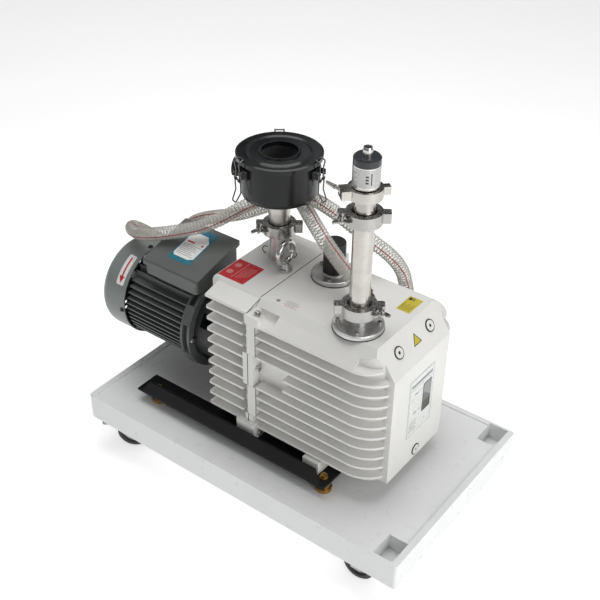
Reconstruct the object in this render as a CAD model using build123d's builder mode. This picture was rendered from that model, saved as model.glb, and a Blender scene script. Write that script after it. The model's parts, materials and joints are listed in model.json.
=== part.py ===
from build123d import *
import os
from math import asin, atan2, cos, degrees, pi, radians, sin, sqrt, tan

# Rotary vane vacuum pump with its motor, inlet filter and gauge stack, on a wheeled base.
# Millimetres. +Z is up, +X runs along the shaft from the motor to the sight-glass end.
# The origin is on the floor below the middle of the wheeled base.

# ---------------------------------------------------------------- driving dimensions
PARTING_X = 19.0          # joint between the pump housing and the oil casing
BASE_TOP = 149.0          # rim of the wheeled base over the floor
FOOT_Z = 178.0            # top of the rails, where the pump stands
AXIS_Z = FOOT_Z + 140.0   # common axis of the motor and pump shafts
DECK_Z = FOOT_Z + 338.0   # flat top of the pump

BASE_X0, BASE_X1, BASE_HALF = -380.0, 459.0, 243.0
BASE_BOTTOM = 85.0
BASE_SHEET = 3.0
RIM_WIDTH = 14.0

FIN_HALF = 150.0          # half the width over the cooling fins
CORE_HALF = 126.0         # half the width at the fin roots
DECK_HALF = 104.0         # half the width of the flat top
FIN_THICK = 5.5
JOINT_GAP = 0.3           # half the gasket thickness

COWL_R = 112.0
COWL_X0, COWL_X1 = -459.0, -379.0
FRAME_X0, FRAME_X1 = -376.0, -203.0
FLANGE_X1 = -177.0
LANTERN_X1 = PARTING_X - 135.0
SHAFT_R = 14.0
RUNNING = 0.05            # radial clearance of a shaft in its bore

KF_FLANGE_R, KF_TUBE_R, KF_BORE_R = 27.5, 20.0, 18.0   # DN 40 small-flange fitting
KF_FLANGE_T = 4.0
CLAMP_R, CLAMP_H = 35.0, 24.0
CLAMP_EAR = 49.0
CLAMP_TURN = 36.0         # ears square to the corner that the pump is used from

FILTER_X, FILTER_Y = PARTING_X - 67.0, 42.0
FILTER_JOINT_Z = FOOT_Z + 410.0
CAN_Z0, CAN_Z1 = FOOT_Z + 490.0, FOOT_Z + 582.0
CAN_R, LID_R, LID_HOLE_R = 82.0, 89.0, 38.0

GAUGE_X, GAUGE_Y = PARTING_X + 210.0, -66.0
GAUGE_JOINT_1 = FOOT_Z + 382.0
GAUGE_JOINT_2 = FOOT_Z + 584.0
GAUGE_JOINT_3 = FOOT_Z + 635.0

KNOB_X, KNOB_Y = PARTING_X + 70.0, 50.0
EYE_X, EYE_Y = PARTING_X - 21.5, 4.3
EXHAUST_X, EXHAUST_Y = PARTING_X + 188.0, 2.0

WHEEL_R, WHEEL_W = 37.5, 26.0
CASTER_TRAIL = 28.0
SWIVEL_X, SWIVEL_Y = BASE_X0 + 50.0, 198.0
SWIVEL_TURNS = (30.0, -18.0)  # how the two forks stand
FIXED_X, FIXED_Y = BASE_X1 - 115.0, 188.0

HOSE_D = 32.0

os.makedirs("parts", exist_ok=True)


def save(builder, name):
    """Label a finished piece and write its STEP file."""
    builder.part.label = name
    export_step(builder.part, f"parts/{name}.step")


def block(x0, x1, y0, y1, z0, z1, mode=Mode.ADD):
    """A box between two corners, in the part that is being built."""
    with Locations(((x0 + x1) / 2, (y0 + y1) / 2, (z0 + z1) / 2)):
        Box(x1 - x0, y1 - y0, z1 - z0, mode=mode)


def rod_x(x0, x1, y, z, r, mode=Mode.ADD):
    """A cylinder along X."""
    with Locations(Location(((x0 + x1) / 2, y, z), (0, 90, 0))):
        Cylinder(r, x1 - x0, mode=mode)


def rod_y(y0, y1, x, z, r, mode=Mode.ADD):
    """A cylinder along Y."""
    with Locations(Location((x, (y0 + y1) / 2, z), (90, 0, 0))):
        Cylinder(r, y1 - y0, mode=mode)


def rod_z(z0, z1, x, y, r, mode=Mode.ADD):
    """A cylinder along Z."""
    with Locations((x, y, (z0 + z1) / 2)):
        Cylinder(r, z1 - z0, mode=mode)


def both_sides(y0, y1):
    """A span in Y and its mirror image."""
    return ((y0, y1), (-y1, -y0))


# ---------------------------------------------------------------- wheeled base
POCKET_X0, POCKET_X1 = BASE_X1 - 59.0, BASE_X1 - RIM_WIDTH
POCKET_Y0, POCKET_Y1 = BASE_HALF - 66.0, BASE_HALF - 6.0
POCKET_FLOOR = 108.0
DECK_TOP = BASE_TOP - BASE_SHEET

with BuildPart() as platform:
    with BuildSketch(Plane.XY.offset(BASE_BOTTOM)):
        with Locations(((BASE_X0 + BASE_X1) / 2, 0)):
            RectangleRounded(BASE_X1 - BASE_X0, 2 * BASE_HALF, 6)
    extrude(amount=BASE_TOP - BASE_BOTTOM)
    block(BASE_X0 + BASE_SHEET, BASE_X1 - BASE_SHEET, BASE_SHEET - BASE_HALF, BASE_HALF - BASE_SHEET,
          BASE_BOTTOM, DECK_TOP - BASE_SHEET, mode=Mode.SUBTRACT)
    block(BASE_X0 + RIM_WIDTH, BASE_X1 - RIM_WIDTH, RIM_WIDTH - BASE_HALF, BASE_HALF - RIM_WIDTH,
          DECK_TOP, BASE_TOP, mode=Mode.SUBTRACT)
    for side in (-1, 1):
        y_a, y_b = sorted((side * POCKET_Y0, side * POCKET_Y1))
        block(POCKET_X0 - BASE_SHEET, POCKET_X1 + BASE_SHEET, y_a - BASE_SHEET, y_b + BASE_SHEET,
              POCKET_FLOOR - BASE_SHEET, DECK_TOP)
        block(POCKET_X0, POCKET_X1, y_a, y_b, POCKET_FLOOR, BASE_TOP, mode=Mode.SUBTRACT)
save(platform, "platform")

RAIL_X0, RAIL_X1 = PARTING_X - 301.0, PARTING_X + 222.0
RAIL_Y0, RAIL_Y1 = 120.0, 182.0
RAIL_BOLT_X = (RAIL_X0 + 39.0, RAIL_X1 - 19.0)
RAIL_BOLT_Y = 154.0
RAIL_T = 5.0

with BuildPart() as base_rails:
    for side in (-1, 1):
        with BuildSketch(Plane.YZ.offset(RAIL_X0)):
            with BuildLine():
                Polyline((side * RAIL_Y0, FOOT_Z - RAIL_T), (side * RAIL_Y1, FOOT_Z - RAIL_T),
                         (side * RAIL_Y1, FOOT_Z), (side * (RAIL_Y1 - 11), FOOT_Z + 25),
                         (side * (RAIL_Y1 - 16), FOOT_Z + 25), (side * (RAIL_Y1 - 8), FOOT_Z),
                         (side * RAIL_Y0, FOOT_Z), close=True)
            make_face()
        extrude(amount=RAIL_X1 - RAIL_X0)
    with BuildSketch(Plane.XZ.offset(-FIN_HALF - 40)):
        for x_end, x_top in ((RAIL_X0, RAIL_X0 + 31), (RAIL_X1, RAIL_X1 - 33)):
            with BuildLine():
                Polyline((x_end, FOOT_Z), (x_end, FOOT_Z + 26), (x_top, FOOT_Z + 26),
                         (x_end + (x_top - x_end) * 0.4, FOOT_Z), close=True)
            make_face()
    extrude(amount=2 * FIN_HALF + 80, mode=Mode.SUBTRACT)
    for x in RAIL_BOLT_X:
        for side in (-1, 1):
            rod_z(FOOT_Z - RAIL_T, FOOT_Z, x, side * RAIL_BOLT_Y, 4.5, mode=Mode.SUBTRACT)
save(base_rails, "base_rails")

with BuildPart() as rail_feet:
    with Locations(*[(x, side * RAIL_BOLT_Y, DECK_TOP) for x in RAIL_BOLT_X for side in (-1, 1)]):
        Cylinder(17.4, 9, align=(Align.CENTER, Align.CENTER, Align.MIN))
        Cylinder(14.5, FOOT_Z - RAIL_T - DECK_TOP, align=(Align.CENTER, Align.CENTER, Align.MIN))
        Hole(4.2, depth=60)
save(rail_feet, "rail_feet")

with BuildPart() as rail_bolts:
    for x in RAIL_BOLT_X:
        for side in (-1, 1):
            rod_z(DECK_TOP, FOOT_Z, x, side * RAIL_BOLT_Y, 4.0)
            rod_z(FOOT_Z, FOOT_Z + 1.6, x, side * RAIL_BOLT_Y, 9.0)
            with BuildSketch(Plane.XY.offset(FOOT_Z + 1.6)):
                with Locations((x, side * RAIL_BOLT_Y)):
                    RegularPolygon(7.5, 6)
            extrude(amount=5.5)
save(rail_bolts, "rail_bolts")

# ---------------------------------------------------------------- casters
PLATE_Z = DECK_TOP - BASE_SHEET       # underside of the platform deck
CROWN_Z = 84.0                        # underside of the turning head
LEG_IN = WHEEL_W / 2 + 2.0
LEG_T = 3.0
AXLE_R = 4.0
KINGPIN_R = 6.0
FORK_SPOTS = [Location((SWIVEL_X, side * SWIVEL_Y, 0), (0, 0, turn)) for side, turn in zip((-1, 1), SWIVEL_TURNS)]
FIXED_SPOTS = [Location((FIXED_X, side * FIXED_Y, 0)) for side in (-1, 1)]

with BuildPart() as caster_mounts:
    for spot in FORK_SPOTS:
        x, y = spot.position.X, spot.position.Y
        block(x - 38, x + 38, y - 38, y + 38, PLATE_Z - 3, PLATE_Z)
        rod_z(CROWN_Z + 5, PLATE_Z - 3, x, y, 24)
        rod_z(CROWN_Z + 5, PLATE_Z - 6, x, y, KINGPIN_R + RUNNING, mode=Mode.SUBTRACT)
    for spot in FIXED_SPOTS:
        x, y = spot.position.X, spot.position.Y
        block(x - 46, x + 46, y - 38, y + 38, PLATE_Z - 3, PLATE_Z)
        for leg in (-1, 1):
            y_leg = y + leg * (LEG_IN + LEG_T / 2)
            with BuildSketch(Plane.XZ.offset(-y_leg - LEG_T / 2)):
                with BuildLine():
                    Polyline((x - 34, PLATE_Z - 3), (x - 12, WHEEL_R - 8), (x + 12, WHEEL_R - 8),
                             (x + 34, PLATE_Z - 3), close=True)
                make_face()
            extrude(amount=LEG_T)
        rod_y(y - LEG_IN - LEG_T - 3, y + LEG_IN + LEG_T + 3, x, WHEEL_R, AXLE_R)
save(caster_mounts, "caster_mounts")

with BuildPart(mode=Mode.PRIVATE) as fork_master:
    rod_z(CROWN_Z, CROWN_Z + 4.5, 0, 0, 27)
    rod_z(CROWN_Z, PLATE_Z - 7, 0, 0, KINGPIN_R)
    block(-18, 40, -LEG_IN - LEG_T, LEG_IN + LEG_T, CROWN_Z - 4, CROWN_Z)
    for leg in (-1, 1):
        with BuildSketch(Plane.XZ.offset(-leg * (LEG_IN + LEG_T / 2) - LEG_T / 2)):
            with BuildLine():
                Polyline((-18, CROWN_Z), (-18, CROWN_Z - 20), (CASTER_TRAIL - 11, WHEEL_R - 8),
                         (CASTER_TRAIL + 11, WHEEL_R - 8), (40, CROWN_Z - 20), (40, CROWN_Z), close=True)
            make_face()
        extrude(amount=LEG_T)
    rod_y(-LEG_IN - LEG_T - 3, LEG_IN + LEG_T + 3, CASTER_TRAIL, WHEEL_R, AXLE_R)

with BuildPart(mode=Mode.PRIVATE) as wheel_master:
    with BuildSketch(Plane.YZ):
        with BuildLine():
            half = WHEEL_W / 2
            Polyline((-half, AXLE_R + RUNNING), (-half, 10), (5 - half, 11), (5 - half, WHEEL_R - 13),
                     (-half, WHEEL_R - 11), (-half, WHEEL_R - 4), (4 - half, WHEEL_R), (half - 4, WHEEL_R),
                     (half, WHEEL_R - 4), (half, WHEEL_R - 11), (half - 5, WHEEL_R - 13), (half - 5, 11),
                     (half, 10), (half, AXLE_R + RUNNING), close=True)
        make_face()
    revolve(axis=Axis.Y)

PEDAL_PIVOT = (-11.0, CROWN_Z - 13.0)
PEDAL_TIP = (-46.0, 56.0)

with BuildPart(mode=Mode.PRIVATE) as pedal_master:
    rod_y(0.6 - LEG_IN, LEG_IN - 0.6, *PEDAL_PIVOT, 3.5)
    with BuildSketch(Plane.XZ.offset(-12)):
        with BuildLine():
            Polyline((PEDAL_PIVOT[0], PEDAL_PIVOT[1] - 3), (PEDAL_PIVOT[0], PEDAL_PIVOT[1] + 1),
                     (PEDAL_TIP[0] + 14, PEDAL_TIP[1] + 5), (PEDAL_TIP[0], PEDAL_TIP[1] + 3),
                     (PEDAL_TIP[0], PEDAL_TIP[1]), (PEDAL_TIP[0] + 14, PEDAL_TIP[1] + 1), close=True)
        make_face()
    extrude(amount=24)
    block(PEDAL_TIP[0] + 4, PEDAL_PIVOT[0] - 10, -8, 8, 50, 80, mode=Mode.SUBTRACT)
    fillet(pedal_master.edges().filter_by(Axis.Z).group_by(Axis.X)[0], 8)

for number, spot in enumerate(FORK_SPOTS, start=1):
    with BuildPart() as caster_fork:
        with Locations(spot):
            add(fork_master.part)
    save(caster_fork, f"caster_fork_{number}")
    with BuildPart() as brake_pedal:
        with Locations(spot):
            add(pedal_master.part)
    save(brake_pedal, f"brake_pedal_{number}")

WHEEL_SPOTS = [spot * Location((CASTER_TRAIL, 0, WHEEL_R)) for spot in FORK_SPOTS]
WHEEL_SPOTS += [spot * Location((0, 0, WHEEL_R)) for spot in FIXED_SPOTS]
for number, spot in enumerate(WHEEL_SPOTS, start=1):
    with BuildPart() as caster_wheel:
        with Locations(spot):
            add(wheel_master.part)
    save(caster_wheel, f"caster_wheel_{number}")

# ---------------------------------------------------------------- pump housing, motor side
HOUSE_X0 = PARTING_X - 110.0          # left ends of the fins
HOUSE_X1 = PARTING_X - JOINT_GAP
HOUSE_BOTTOM = FOOT_Z + 25.0
HOUSE_FIN_Z = [FOOT_Z + 38.0 + 28.3 * k for k in range(11)]
TAB_ZONES = ((FOOT_Z + 62.0, FOOT_Z + 140.0), (FOOT_Z + 222.0, FOOT_Z + 298.0))
INTAKE_BORE = 16.0
FOOT_SPAN = (122.0, 158.0)


def core_outline(inset):
    """Half outline in Y and Z of the pump's body across the shaft, moved inwards."""
    return [(CORE_HALF - inset, HOUSE_BOTTOM + inset), (CORE_HALF - inset, DECK_Z - 18 - inset * 0.6),
            (DECK_HALF - inset * 0.7, DECK_Z - inset)]


def ring(points):
    """Close a half outline with its mirror image about the shaft plane."""
    return points + [(-y, z) for y, z in reversed(points)]


with BuildPart() as pump_housing:
    with BuildSketch(Plane.YZ.offset(HOUSE_X0)):
        with BuildLine():
            Polyline(*ring(core_outline(0)), close=True)
        make_face()
    extrude(amount=HOUSE_X1 - HOUSE_X0)
    block(LANTERN_X1, HOUSE_X0, -DECK_HALF, DECK_HALF, FOOT_Z + 34, DECK_Z)
    fillet(pump_housing.edges().filter_by(Axis.Y).group_by(Axis.X)[0].sort_by(Axis.Z)[-1], 16)
    fillet(pump_housing.edges().filter_by(Axis.Z).group_by(Axis.X)[0], 12)
    for z in HOUSE_FIN_Z:
        reach = PARTING_X - 13.0
        for y0, y1 in both_sides(CORE_HALF - 1, FIN_HALF):
            block(HOUSE_X0, reach, y0, y1, z - FIN_THICK / 2, z + FIN_THICK / 2)
    fillet(pump_housing.edges().filter_by(Axis.Z).filter_by_position(Axis.X, HOUSE_X0 - 1, HOUSE_X0 + 1)
           .group_by(Axis.Y)[0], 4)
    for y0, y1 in both_sides(CORE_HALF - 1, FIN_HALF):
        block(PARTING_X - 13, HOUSE_X1, y0, y1, TAB_ZONES[0][1], TAB_ZONES[1][0])
        block(PARTING_X - 8, HOUSE_X1, y0, y1, TAB_ZONES[1][1], HOUSE_FIN_Z[-1] + 2)
        block(PARTING_X - 8, HOUSE_X1, y0, y1, FOOT_Z + 38, TAB_ZONES[0][0])
    for side in (-1, 1):
        with BuildSketch(Plane.YZ.offset(HOUSE_X0)):
            with BuildLine():
                Polyline((side * (DECK_HALF - 4), DECK_Z - 4), (side * DECK_HALF, DECK_Z - 2),
                         (side * FIN_HALF, HOUSE_FIN_Z[-1] + FIN_THICK / 2),
                         (side * FIN_HALF, HOUSE_FIN_Z[-1] - FIN_THICK / 2),
                         (side * (CORE_HALF - 2), HOUSE_FIN_Z[-1] - FIN_THICK / 2), close=True)
            make_face()
        extrude(amount=HOUSE_X1 - HOUSE_X0)
        for z0, z1 in TAB_ZONES:
            y_a, y_b = sorted((side * (CORE_HALF + 0.5), side * FIN_HALF))
            block(PARTING_X + 6, PARTING_X + 19.7, y_a, y_b, z0, z1)
            block(PARTING_X - 2, HOUSE_X1, side * (CORE_HALF + 12) - 12, side * (CORE_HALF + 12) + 12, z0, z1)
            block(PARTING_X - 2, PARTING_X + 7, y_a, y_b, z0, z1)
        y_a, y_b = sorted((side * FOOT_SPAN[0], side * FOOT_SPAN[1]))
        block(PARTING_X - 27, HOUSE_X1, y_a, y_b, FOOT_Z, FOOT_Z + 42)
    rod_x(LANTERN_X1, PARTING_X - 50, 0, AXIS_Z, 84, mode=Mode.SUBTRACT)
    rod_x(PARTING_X - 50, PARTING_X - 33, 0, AXIS_Z, 28, mode=Mode.SUBTRACT)
    rod_x(PARTING_X - 50, HOUSE_X1, 0, AXIS_Z, 20, mode=Mode.SUBTRACT)
    for y in (-80, 80):
        block(HOUSE_X0 + 12, HOUSE_X1 - 14, y - 26, y + 26, AXIS_Z + 95, DECK_Z - 14, mode=Mode.SUBTRACT)
    rod_z(DECK_Z - 62, DECK_Z, FILTER_X, FILTER_Y, INTAKE_BORE, mode=Mode.SUBTRACT)
    rod_x(FILTER_X, HOUSE_X1, FILTER_Y, DECK_Z - 76, 12, mode=Mode.SUBTRACT)
save(pump_housing, "pump_housing")
print("pump housing", round(pump_housing.part.volume / 1000), "cm3", len(pump_housing.solids()), "solids")

# ---------------------------------------------------------------- oil casing
CASE_X0 = PARTING_X + JOINT_GAP
CASE_X1 = PARTING_X + 322.8
CASE_BOTTOM = FOOT_Z + 12.0
END_HALF = 103.0                      # half width of the end face
BEND_X = PARTING_X + 255.0            # where the side walls start to turn in
CORNER_X = PARTING_X + 300.0          # where they run straight again
SLOPE_RUN, SLOPE_DROP = 42.6, 63.6    # sloping face between the deck and the end face
CASE_FIN_Z = [FOOT_Z + 37.0 + 26.33 * k for k in range(11)]
LIP_Z = CASE_FIN_Z[-1]                # the top fin closes the shoulder
SHORT_FINS = (5, 6)                   # these two stop short of the middle bolt pocket
WALL = 7.0


def case_plan(x_start, half, end_half, tip_x, tip_half):
    """Plan outline of the casing or of one fin: straight, then turned in to the end face."""
    mid_x = (BEND_X + tip_x) / 2 + 6
    with BuildLine() as plan:
        Polyline((x_start, 0), (x_start, half), (BEND_X, half))
        ThreePointArc((BEND_X, half), (mid_x, (half + tip_half) / 2 + (half - tip_half) * 0.18),
                      (tip_x, tip_half))
        if tip_half > end_half:
            Polyline((tip_x, tip_half), (tip_x - 10, end_half - 1), (tip_x - 10, 0))
        else:
            Polyline((tip_x, tip_half), (CASE_X1, tip_half), (CASE_X1, 0))
        mirror(about=Plane.XZ)
    return plan.line


def shell_outline(inset):
    """Half outline in Y and Z of the oil casing across the shaft, moved inwards."""
    return [(CORE_HALF - inset, CASE_BOTTOM + inset), (CORE_HALF - inset, DECK_Z - 18 - inset * 0.6),
            (DECK_HALF - inset * 0.7, DECK_Z - inset)]


# slope face: a plane that its plugs and screws stand on
SLOPE_MID = Vector(CASE_X1 - SLOPE_RUN / 2, 0, DECK_Z - SLOPE_DROP / 2)
SLOPE_TILT = degrees(atan2(SLOPE_DROP, SLOPE_RUN))
PLUG_R, PLUG_Y, PLUG_UP = 11.0, 56.5, 4.0
DRAIN_Z, DRAIN_Y = FOOT_Z + 32.0, 3.0


def slope_spot(y, up, out):
    """A place on the sloping face: across, up the slope, and out from it."""
    tilt = radians(SLOPE_TILT)
    return Location((SLOPE_MID.X - up * cos(tilt) + out * sin(tilt), y,
                     SLOPE_MID.Z + up * sin(tilt) + out * cos(tilt)), (0, SLOPE_TILT, 0))


PLUG_SPOTS = [slope_spot(side * PLUG_Y, PLUG_UP, 0) for side in (-1, 1)]
DRAIN_SPOT = Location((CASE_X1, DRAIN_Y, DRAIN_Z), (0, 90, 0))
UPWARDS = (Align.CENTER, Align.CENTER, Align.MIN)
DOWNWARDS = (Align.CENTER, Align.CENTER, Align.MAX)
SIGHT_Y, SIGHT_Z = 27.0, FOOT_Z + 165.0
SIGHT_W, SIGHT_H = 28.0, 70.0

with BuildPart() as oil_casing:
    with BuildSketch(Plane.XY.offset(CASE_BOTTOM)):
        add(case_plan(CASE_X0, CORE_HALF, END_HALF, CORNER_X, END_HALF))
        make_face()
    extrude(amount=DECK_Z - CASE_BOTTOM)
    for side in (-1, 1):
        with BuildSketch(Plane.YZ.offset(CASE_X0)):
            with BuildLine():
                Polyline((side * DECK_HALF, DECK_Z + 1), (side * (CORE_HALF + 1), DECK_Z + 1),
                         (side * (CORE_HALF + 1), DECK_Z - 18), (side * CORE_HALF, DECK_Z - 18),
                         (side * DECK_HALF, DECK_Z), close=True)
            make_face()
        extrude(amount=CASE_X1 - CASE_X0, mode=Mode.SUBTRACT)
    for k, z in enumerate(CASE_FIN_Z):
        top = k == len(CASE_FIN_Z) - 1
        tip_x = PARTING_X + (304.0 if top else 317.0)
        tip_half = 116.0 if top else 113.0
        in_tab = any(z0 - 4 < z < z1 + 4 for z0, z1 in TAB_ZONES)
        start = PARTING_X + (90.0 if k in SHORT_FINS else 21.0 if in_tab else 6.0)
        with BuildSketch(Plane.XY.offset(z - FIN_THICK / 2)):
            add(case_plan(start, FIN_HALF, END_HALF, tip_x, tip_half))
            make_face()
        extrude(amount=FIN_THICK)
    for side in (-1, 1):
        with BuildSketch(Plane.YZ.offset(PARTING_X + 21)):
            with BuildLine():
                Polyline((side * (DECK_HALF - 4), DECK_Z - 4), (side * DECK_HALF, DECK_Z - 2),
                         (side * FIN_HALF, LIP_Z + FIN_THICK / 2), (side * FIN_HALF, LIP_Z - FIN_THICK / 2),
                         (side * (CORE_HALF - 2), LIP_Z - FIN_THICK / 2), close=True)
            make_face()
        extrude(amount=BEND_X - PARTING_X - 21)
        y_a, y_b = sorted((side * (CORE_HALF - 1), side * FIN_HALF))
        block(CASE_X0, PARTING_X + 12, y_a, y_b, TAB_ZONES[0][1] + 0.6, TAB_ZONES[1][0] - 0.6)
        block(CASE_X0, PARTING_X + 21, y_a, y_b, TAB_ZONES[1][1] + 0.6, LIP_Z + FIN_THICK / 2)
        block(CASE_X0, PARTING_X + 12, y_a, y_b, FOOT_Z + 38, TAB_ZONES[0][0] - 0.6)
        y_a, y_b = sorted((side * FOOT_SPAN[0], side * FOOT_SPAN[1]))
        block(CASE_X0, PARTING_X + 20, y_a, y_b, FOOT_Z, FOOT_Z + 42)
        block(PARTING_X + 150, PARTING_X + 190, y_a, side * 122 + 12 if side > 0 else y_b, FOOT_Z, FOOT_Z + 30)
        block(CASE_X0, PARTING_X + 34, y_a, y_b, DECK_Z - 34, DECK_Z - 14)
        rod_x(PARTING_X + 12, PARTING_X + 60, side * 134, DECK_Z - 17, 15, mode=Mode.SUBTRACT)
    with BuildSketch(Plane.XZ.offset(-FIN_HALF)):
        with BuildLine():
            Polyline((CASE_X1 - SLOPE_RUN, DECK_Z), (CASE_X1, DECK_Z - SLOPE_DROP), (CASE_X1 + 9, DECK_Z),
                     (CASE_X1, DECK_Z + 9), close=True)
        make_face()
    extrude(amount=2 * FIN_HALF, mode=Mode.SUBTRACT)
    with BuildSketch(Plane.YZ.offset(CASE_X0)):
        with BuildLine():
            Polyline(*ring(shell_outline(WALL)), close=True)
        make_face()
    extrude(amount=BEND_X - 8 - CASE_X0, mode=Mode.SUBTRACT)
    block(BEND_X - 9, CASE_X1 - 9, 8 - END_HALF, END_HALF - 8, CASE_BOTTOM + WALL, DECK_Z - 76, mode=Mode.SUBTRACT)
    rod_z(DECK_Z - 20, DECK_Z, GAUGE_X, GAUGE_Y, KF_BORE_R, mode=Mode.SUBTRACT)
    rod_z(DECK_Z - 20, DECK_Z, EXHAUST_X, EXHAUST_Y, 11, mode=Mode.SUBTRACT)
    rod_z(DECK_Z - 20, DECK_Z, KNOB_X, KNOB_Y, 12, mode=Mode.SUBTRACT)
    block(CASE_X1 - 5, CASE_X1, SIGHT_Y - SIGHT_W / 2, SIGHT_Y + SIGHT_W / 2,
          SIGHT_Z - SIGHT_H / 2, SIGHT_Z + SIGHT_H / 2, mode=Mode.SUBTRACT)
    block(CASE_X1 - 12, CASE_X1, SIGHT_Y - 8, SIGHT_Y + 8, SIGHT_Z - 26, SIGHT_Z + 26, mode=Mode.SUBTRACT)
    with Locations(*PLUG_SPOTS, DRAIN_SPOT):
        Cylinder(PLUG_R - 2.15, 16, align=DOWNWARDS, mode=Mode.SUBTRACT)
save(oil_casing, "oil_casing")
print("oil casing", round(oil_casing.part.volume / 1000), "cm3", len(oil_casing.solids()), "solids")

with BuildPart(mode=Mode.PRIVATE) as plug:
    Cylinder(PLUG_R - 2.2, 12, align=DOWNWARDS)
    Cylinder(PLUG_R, 2.2, align=UPWARDS)
    with BuildSketch(Plane.XY.offset(2.2)):
        RegularPolygon(4.0, 6)
    extrude(amount=-6, mode=Mode.SUBTRACT)

with BuildPart() as oil_plugs:
    with Locations(*PLUG_SPOTS, DRAIN_SPOT):
        add(plug.part)
save(oil_plugs, "oil_plugs")

PLATE_Y, PLATE_LABEL_Z = 5.5, FOOT_Z + 161.0
PLATE_W, PLATE_H, PLATE_T = 93.0, 148.0, 1.0

with BuildPart() as nameplate:
    with BuildSketch(Plane.YZ.offset(CASE_X1)):
        with Locations((PLATE_Y, PLATE_LABEL_Z)):
            RectangleRounded(PLATE_W, PLATE_H, 3)
        with Locations((SIGHT_Y, SIGHT_Z)):
            Rectangle(SIGHT_W + 3, SIGHT_H + 3, mode=Mode.SUBTRACT)
    extrude(amount=PLATE_T)
save(nameplate, "nameplate")

with BuildPart() as sight_glass:
    block(CASE_X1 - 5, CASE_X1 + 1.5, SIGHT_Y - SIGHT_W / 2, SIGHT_Y + SIGHT_W / 2,
          SIGHT_Z - SIGHT_H / 2, SIGHT_Z + SIGHT_H / 2)
save(sight_glass, "sight_glass")

# ---------------------------------------------------------------- seals and screws
GAUGE_FLANGE_R, GAUGE_FLANGE_T = 51.0, 9.0
BALLAST_FLANGE_R, BALLAST_FLANGE_T = 47.0, 9.0
SEAL_T = 1.5
KF_JOINTS = ((FILTER_X, FILTER_Y, FILTER_JOINT_Z), (GAUGE_X, GAUGE_Y, GAUGE_JOINT_1),
             (GAUGE_X, GAUGE_Y, GAUGE_JOINT_2), (GAUGE_X, GAUGE_Y, GAUGE_JOINT_3))
KF_GAP = 2.0              # seal ring between two small flanges

with BuildPart() as seal_rings:
    with BuildSketch(Plane.YZ.offset(HOUSE_X1)):
        with BuildLine():
            Polyline(*ring(core_outline(0.5)), close=True)
        make_face()
        with BuildLine():
            Polyline(*ring(core_outline(WALL)), close=True)
        make_face(mode=Mode.SUBTRACT)
    extrude(amount=2 * JOINT_GAP)
    for x, y, r in ((GAUGE_X, GAUGE_Y, GAUGE_FLANGE_R + 0.8), (KNOB_X, KNOB_Y, BALLAST_FLANGE_R + 0.8)):
        rod_z(DECK_Z, DECK_Z + SEAL_T, x, y, r)
        rod_z(DECK_Z, DECK_Z + SEAL_T, x, y, r - 12, mode=Mode.SUBTRACT)
    for x, y, z in KF_JOINTS:
        rod_z(z - KF_GAP / 2, z + KF_GAP / 2, x, y, KF_FLANGE_R - 1)
        rod_z(z - KF_GAP / 2, z + KF_GAP / 2, x, y, KF_BORE_R, mode=Mode.SUBTRACT)
    with Locations(*PLUG_SPOTS, DRAIN_SPOT):
        Cylinder(PLUG_R + 2.2, 1.6, align=UPWARDS)
        Cylinder(PLUG_R + 0.1, 1.6, align=UPWARDS, mode=Mode.SUBTRACT)
save(seal_rings, "seal_rings")


def cap_screw(r, head_h):
    """Head of a socket-head screw, standing on its seat."""
    with BuildPart(mode=Mode.PRIVATE) as screw:
        Cylinder(r, head_h, align=UPWARDS)
        with BuildSketch(Plane.XY.offset(head_h)):
            RegularPolygon(r * 0.58, 6)
        extrude(amount=-head_h * 0.6, mode=Mode.SUBTRACT)
    return screw.part


FLANGE_SCREW_R = 40.5
MOTOR_SCREW_R = 107.0
JOINT_SCREWS = [(PARTING_X + 12, side * 135, z) for side in (-1, 1) for z in (DECK_Z - 17, FOOT_Z + 182)]
JOINT_SCREWS += [(PARTING_X + 20, side * 142, FOOT_Z + 14) for side in (-1, 1)]
BACK_SCREWS = [(PARTING_X - 2, side * 138, z) for side in (-1, 1) for z in (FOOT_Z + 262, FOOT_Z + 102)]

with BuildPart() as socket_screws:
    with Locations(*[Location(spot, (0, 90, 0)) for spot in JOINT_SCREWS]):
        add(cap_screw(6.5, 8))
    with Locations(*[Location(spot, (0, -90, 0)) for spot in BACK_SCREWS]):
        add(cap_screw(6.5, 8))
    with Locations((GAUGE_X, GAUGE_Y, DECK_Z + SEAL_T + GAUGE_FLANGE_T)):
        with PolarLocations(FLANGE_SCREW_R, 4, start_angle=30):
            add(cap_screw(4.6, 5))
    with Locations((KNOB_X, KNOB_Y, DECK_Z + SEAL_T + BALLAST_FLANGE_T)):
        with PolarLocations(BALLAST_FLANGE_R - 10, 3, start_angle=170):
            add(cap_screw(4.2, 4.5))
    with Locations(Location((FLANGE_X1, 0, AXIS_Z), (0, 90, 0))):
        with PolarLocations(MOTOR_SCREW_R, 6, start_angle=30):
            add(cap_screw(5.5, 7))
save(socket_screws, "socket_screws")

# ---------------------------------------------------------------- pump module inside the casing
ROTOR_R, BORE_R = 50.0, 62.0
ROTOR_X0, ROTOR_X1 = PARTING_X + 22.0, PARTING_X + 180.0
BORE_Z = AXIS_Z - (BORE_R - ROTOR_R) + 0.1
END_T = 11.0
STATOR_R = 84.0
VANE_T, SLOT_DEPTH = 8.0, 34.0
SEAL_BORE = SHAFT_R + RUNNING

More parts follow.
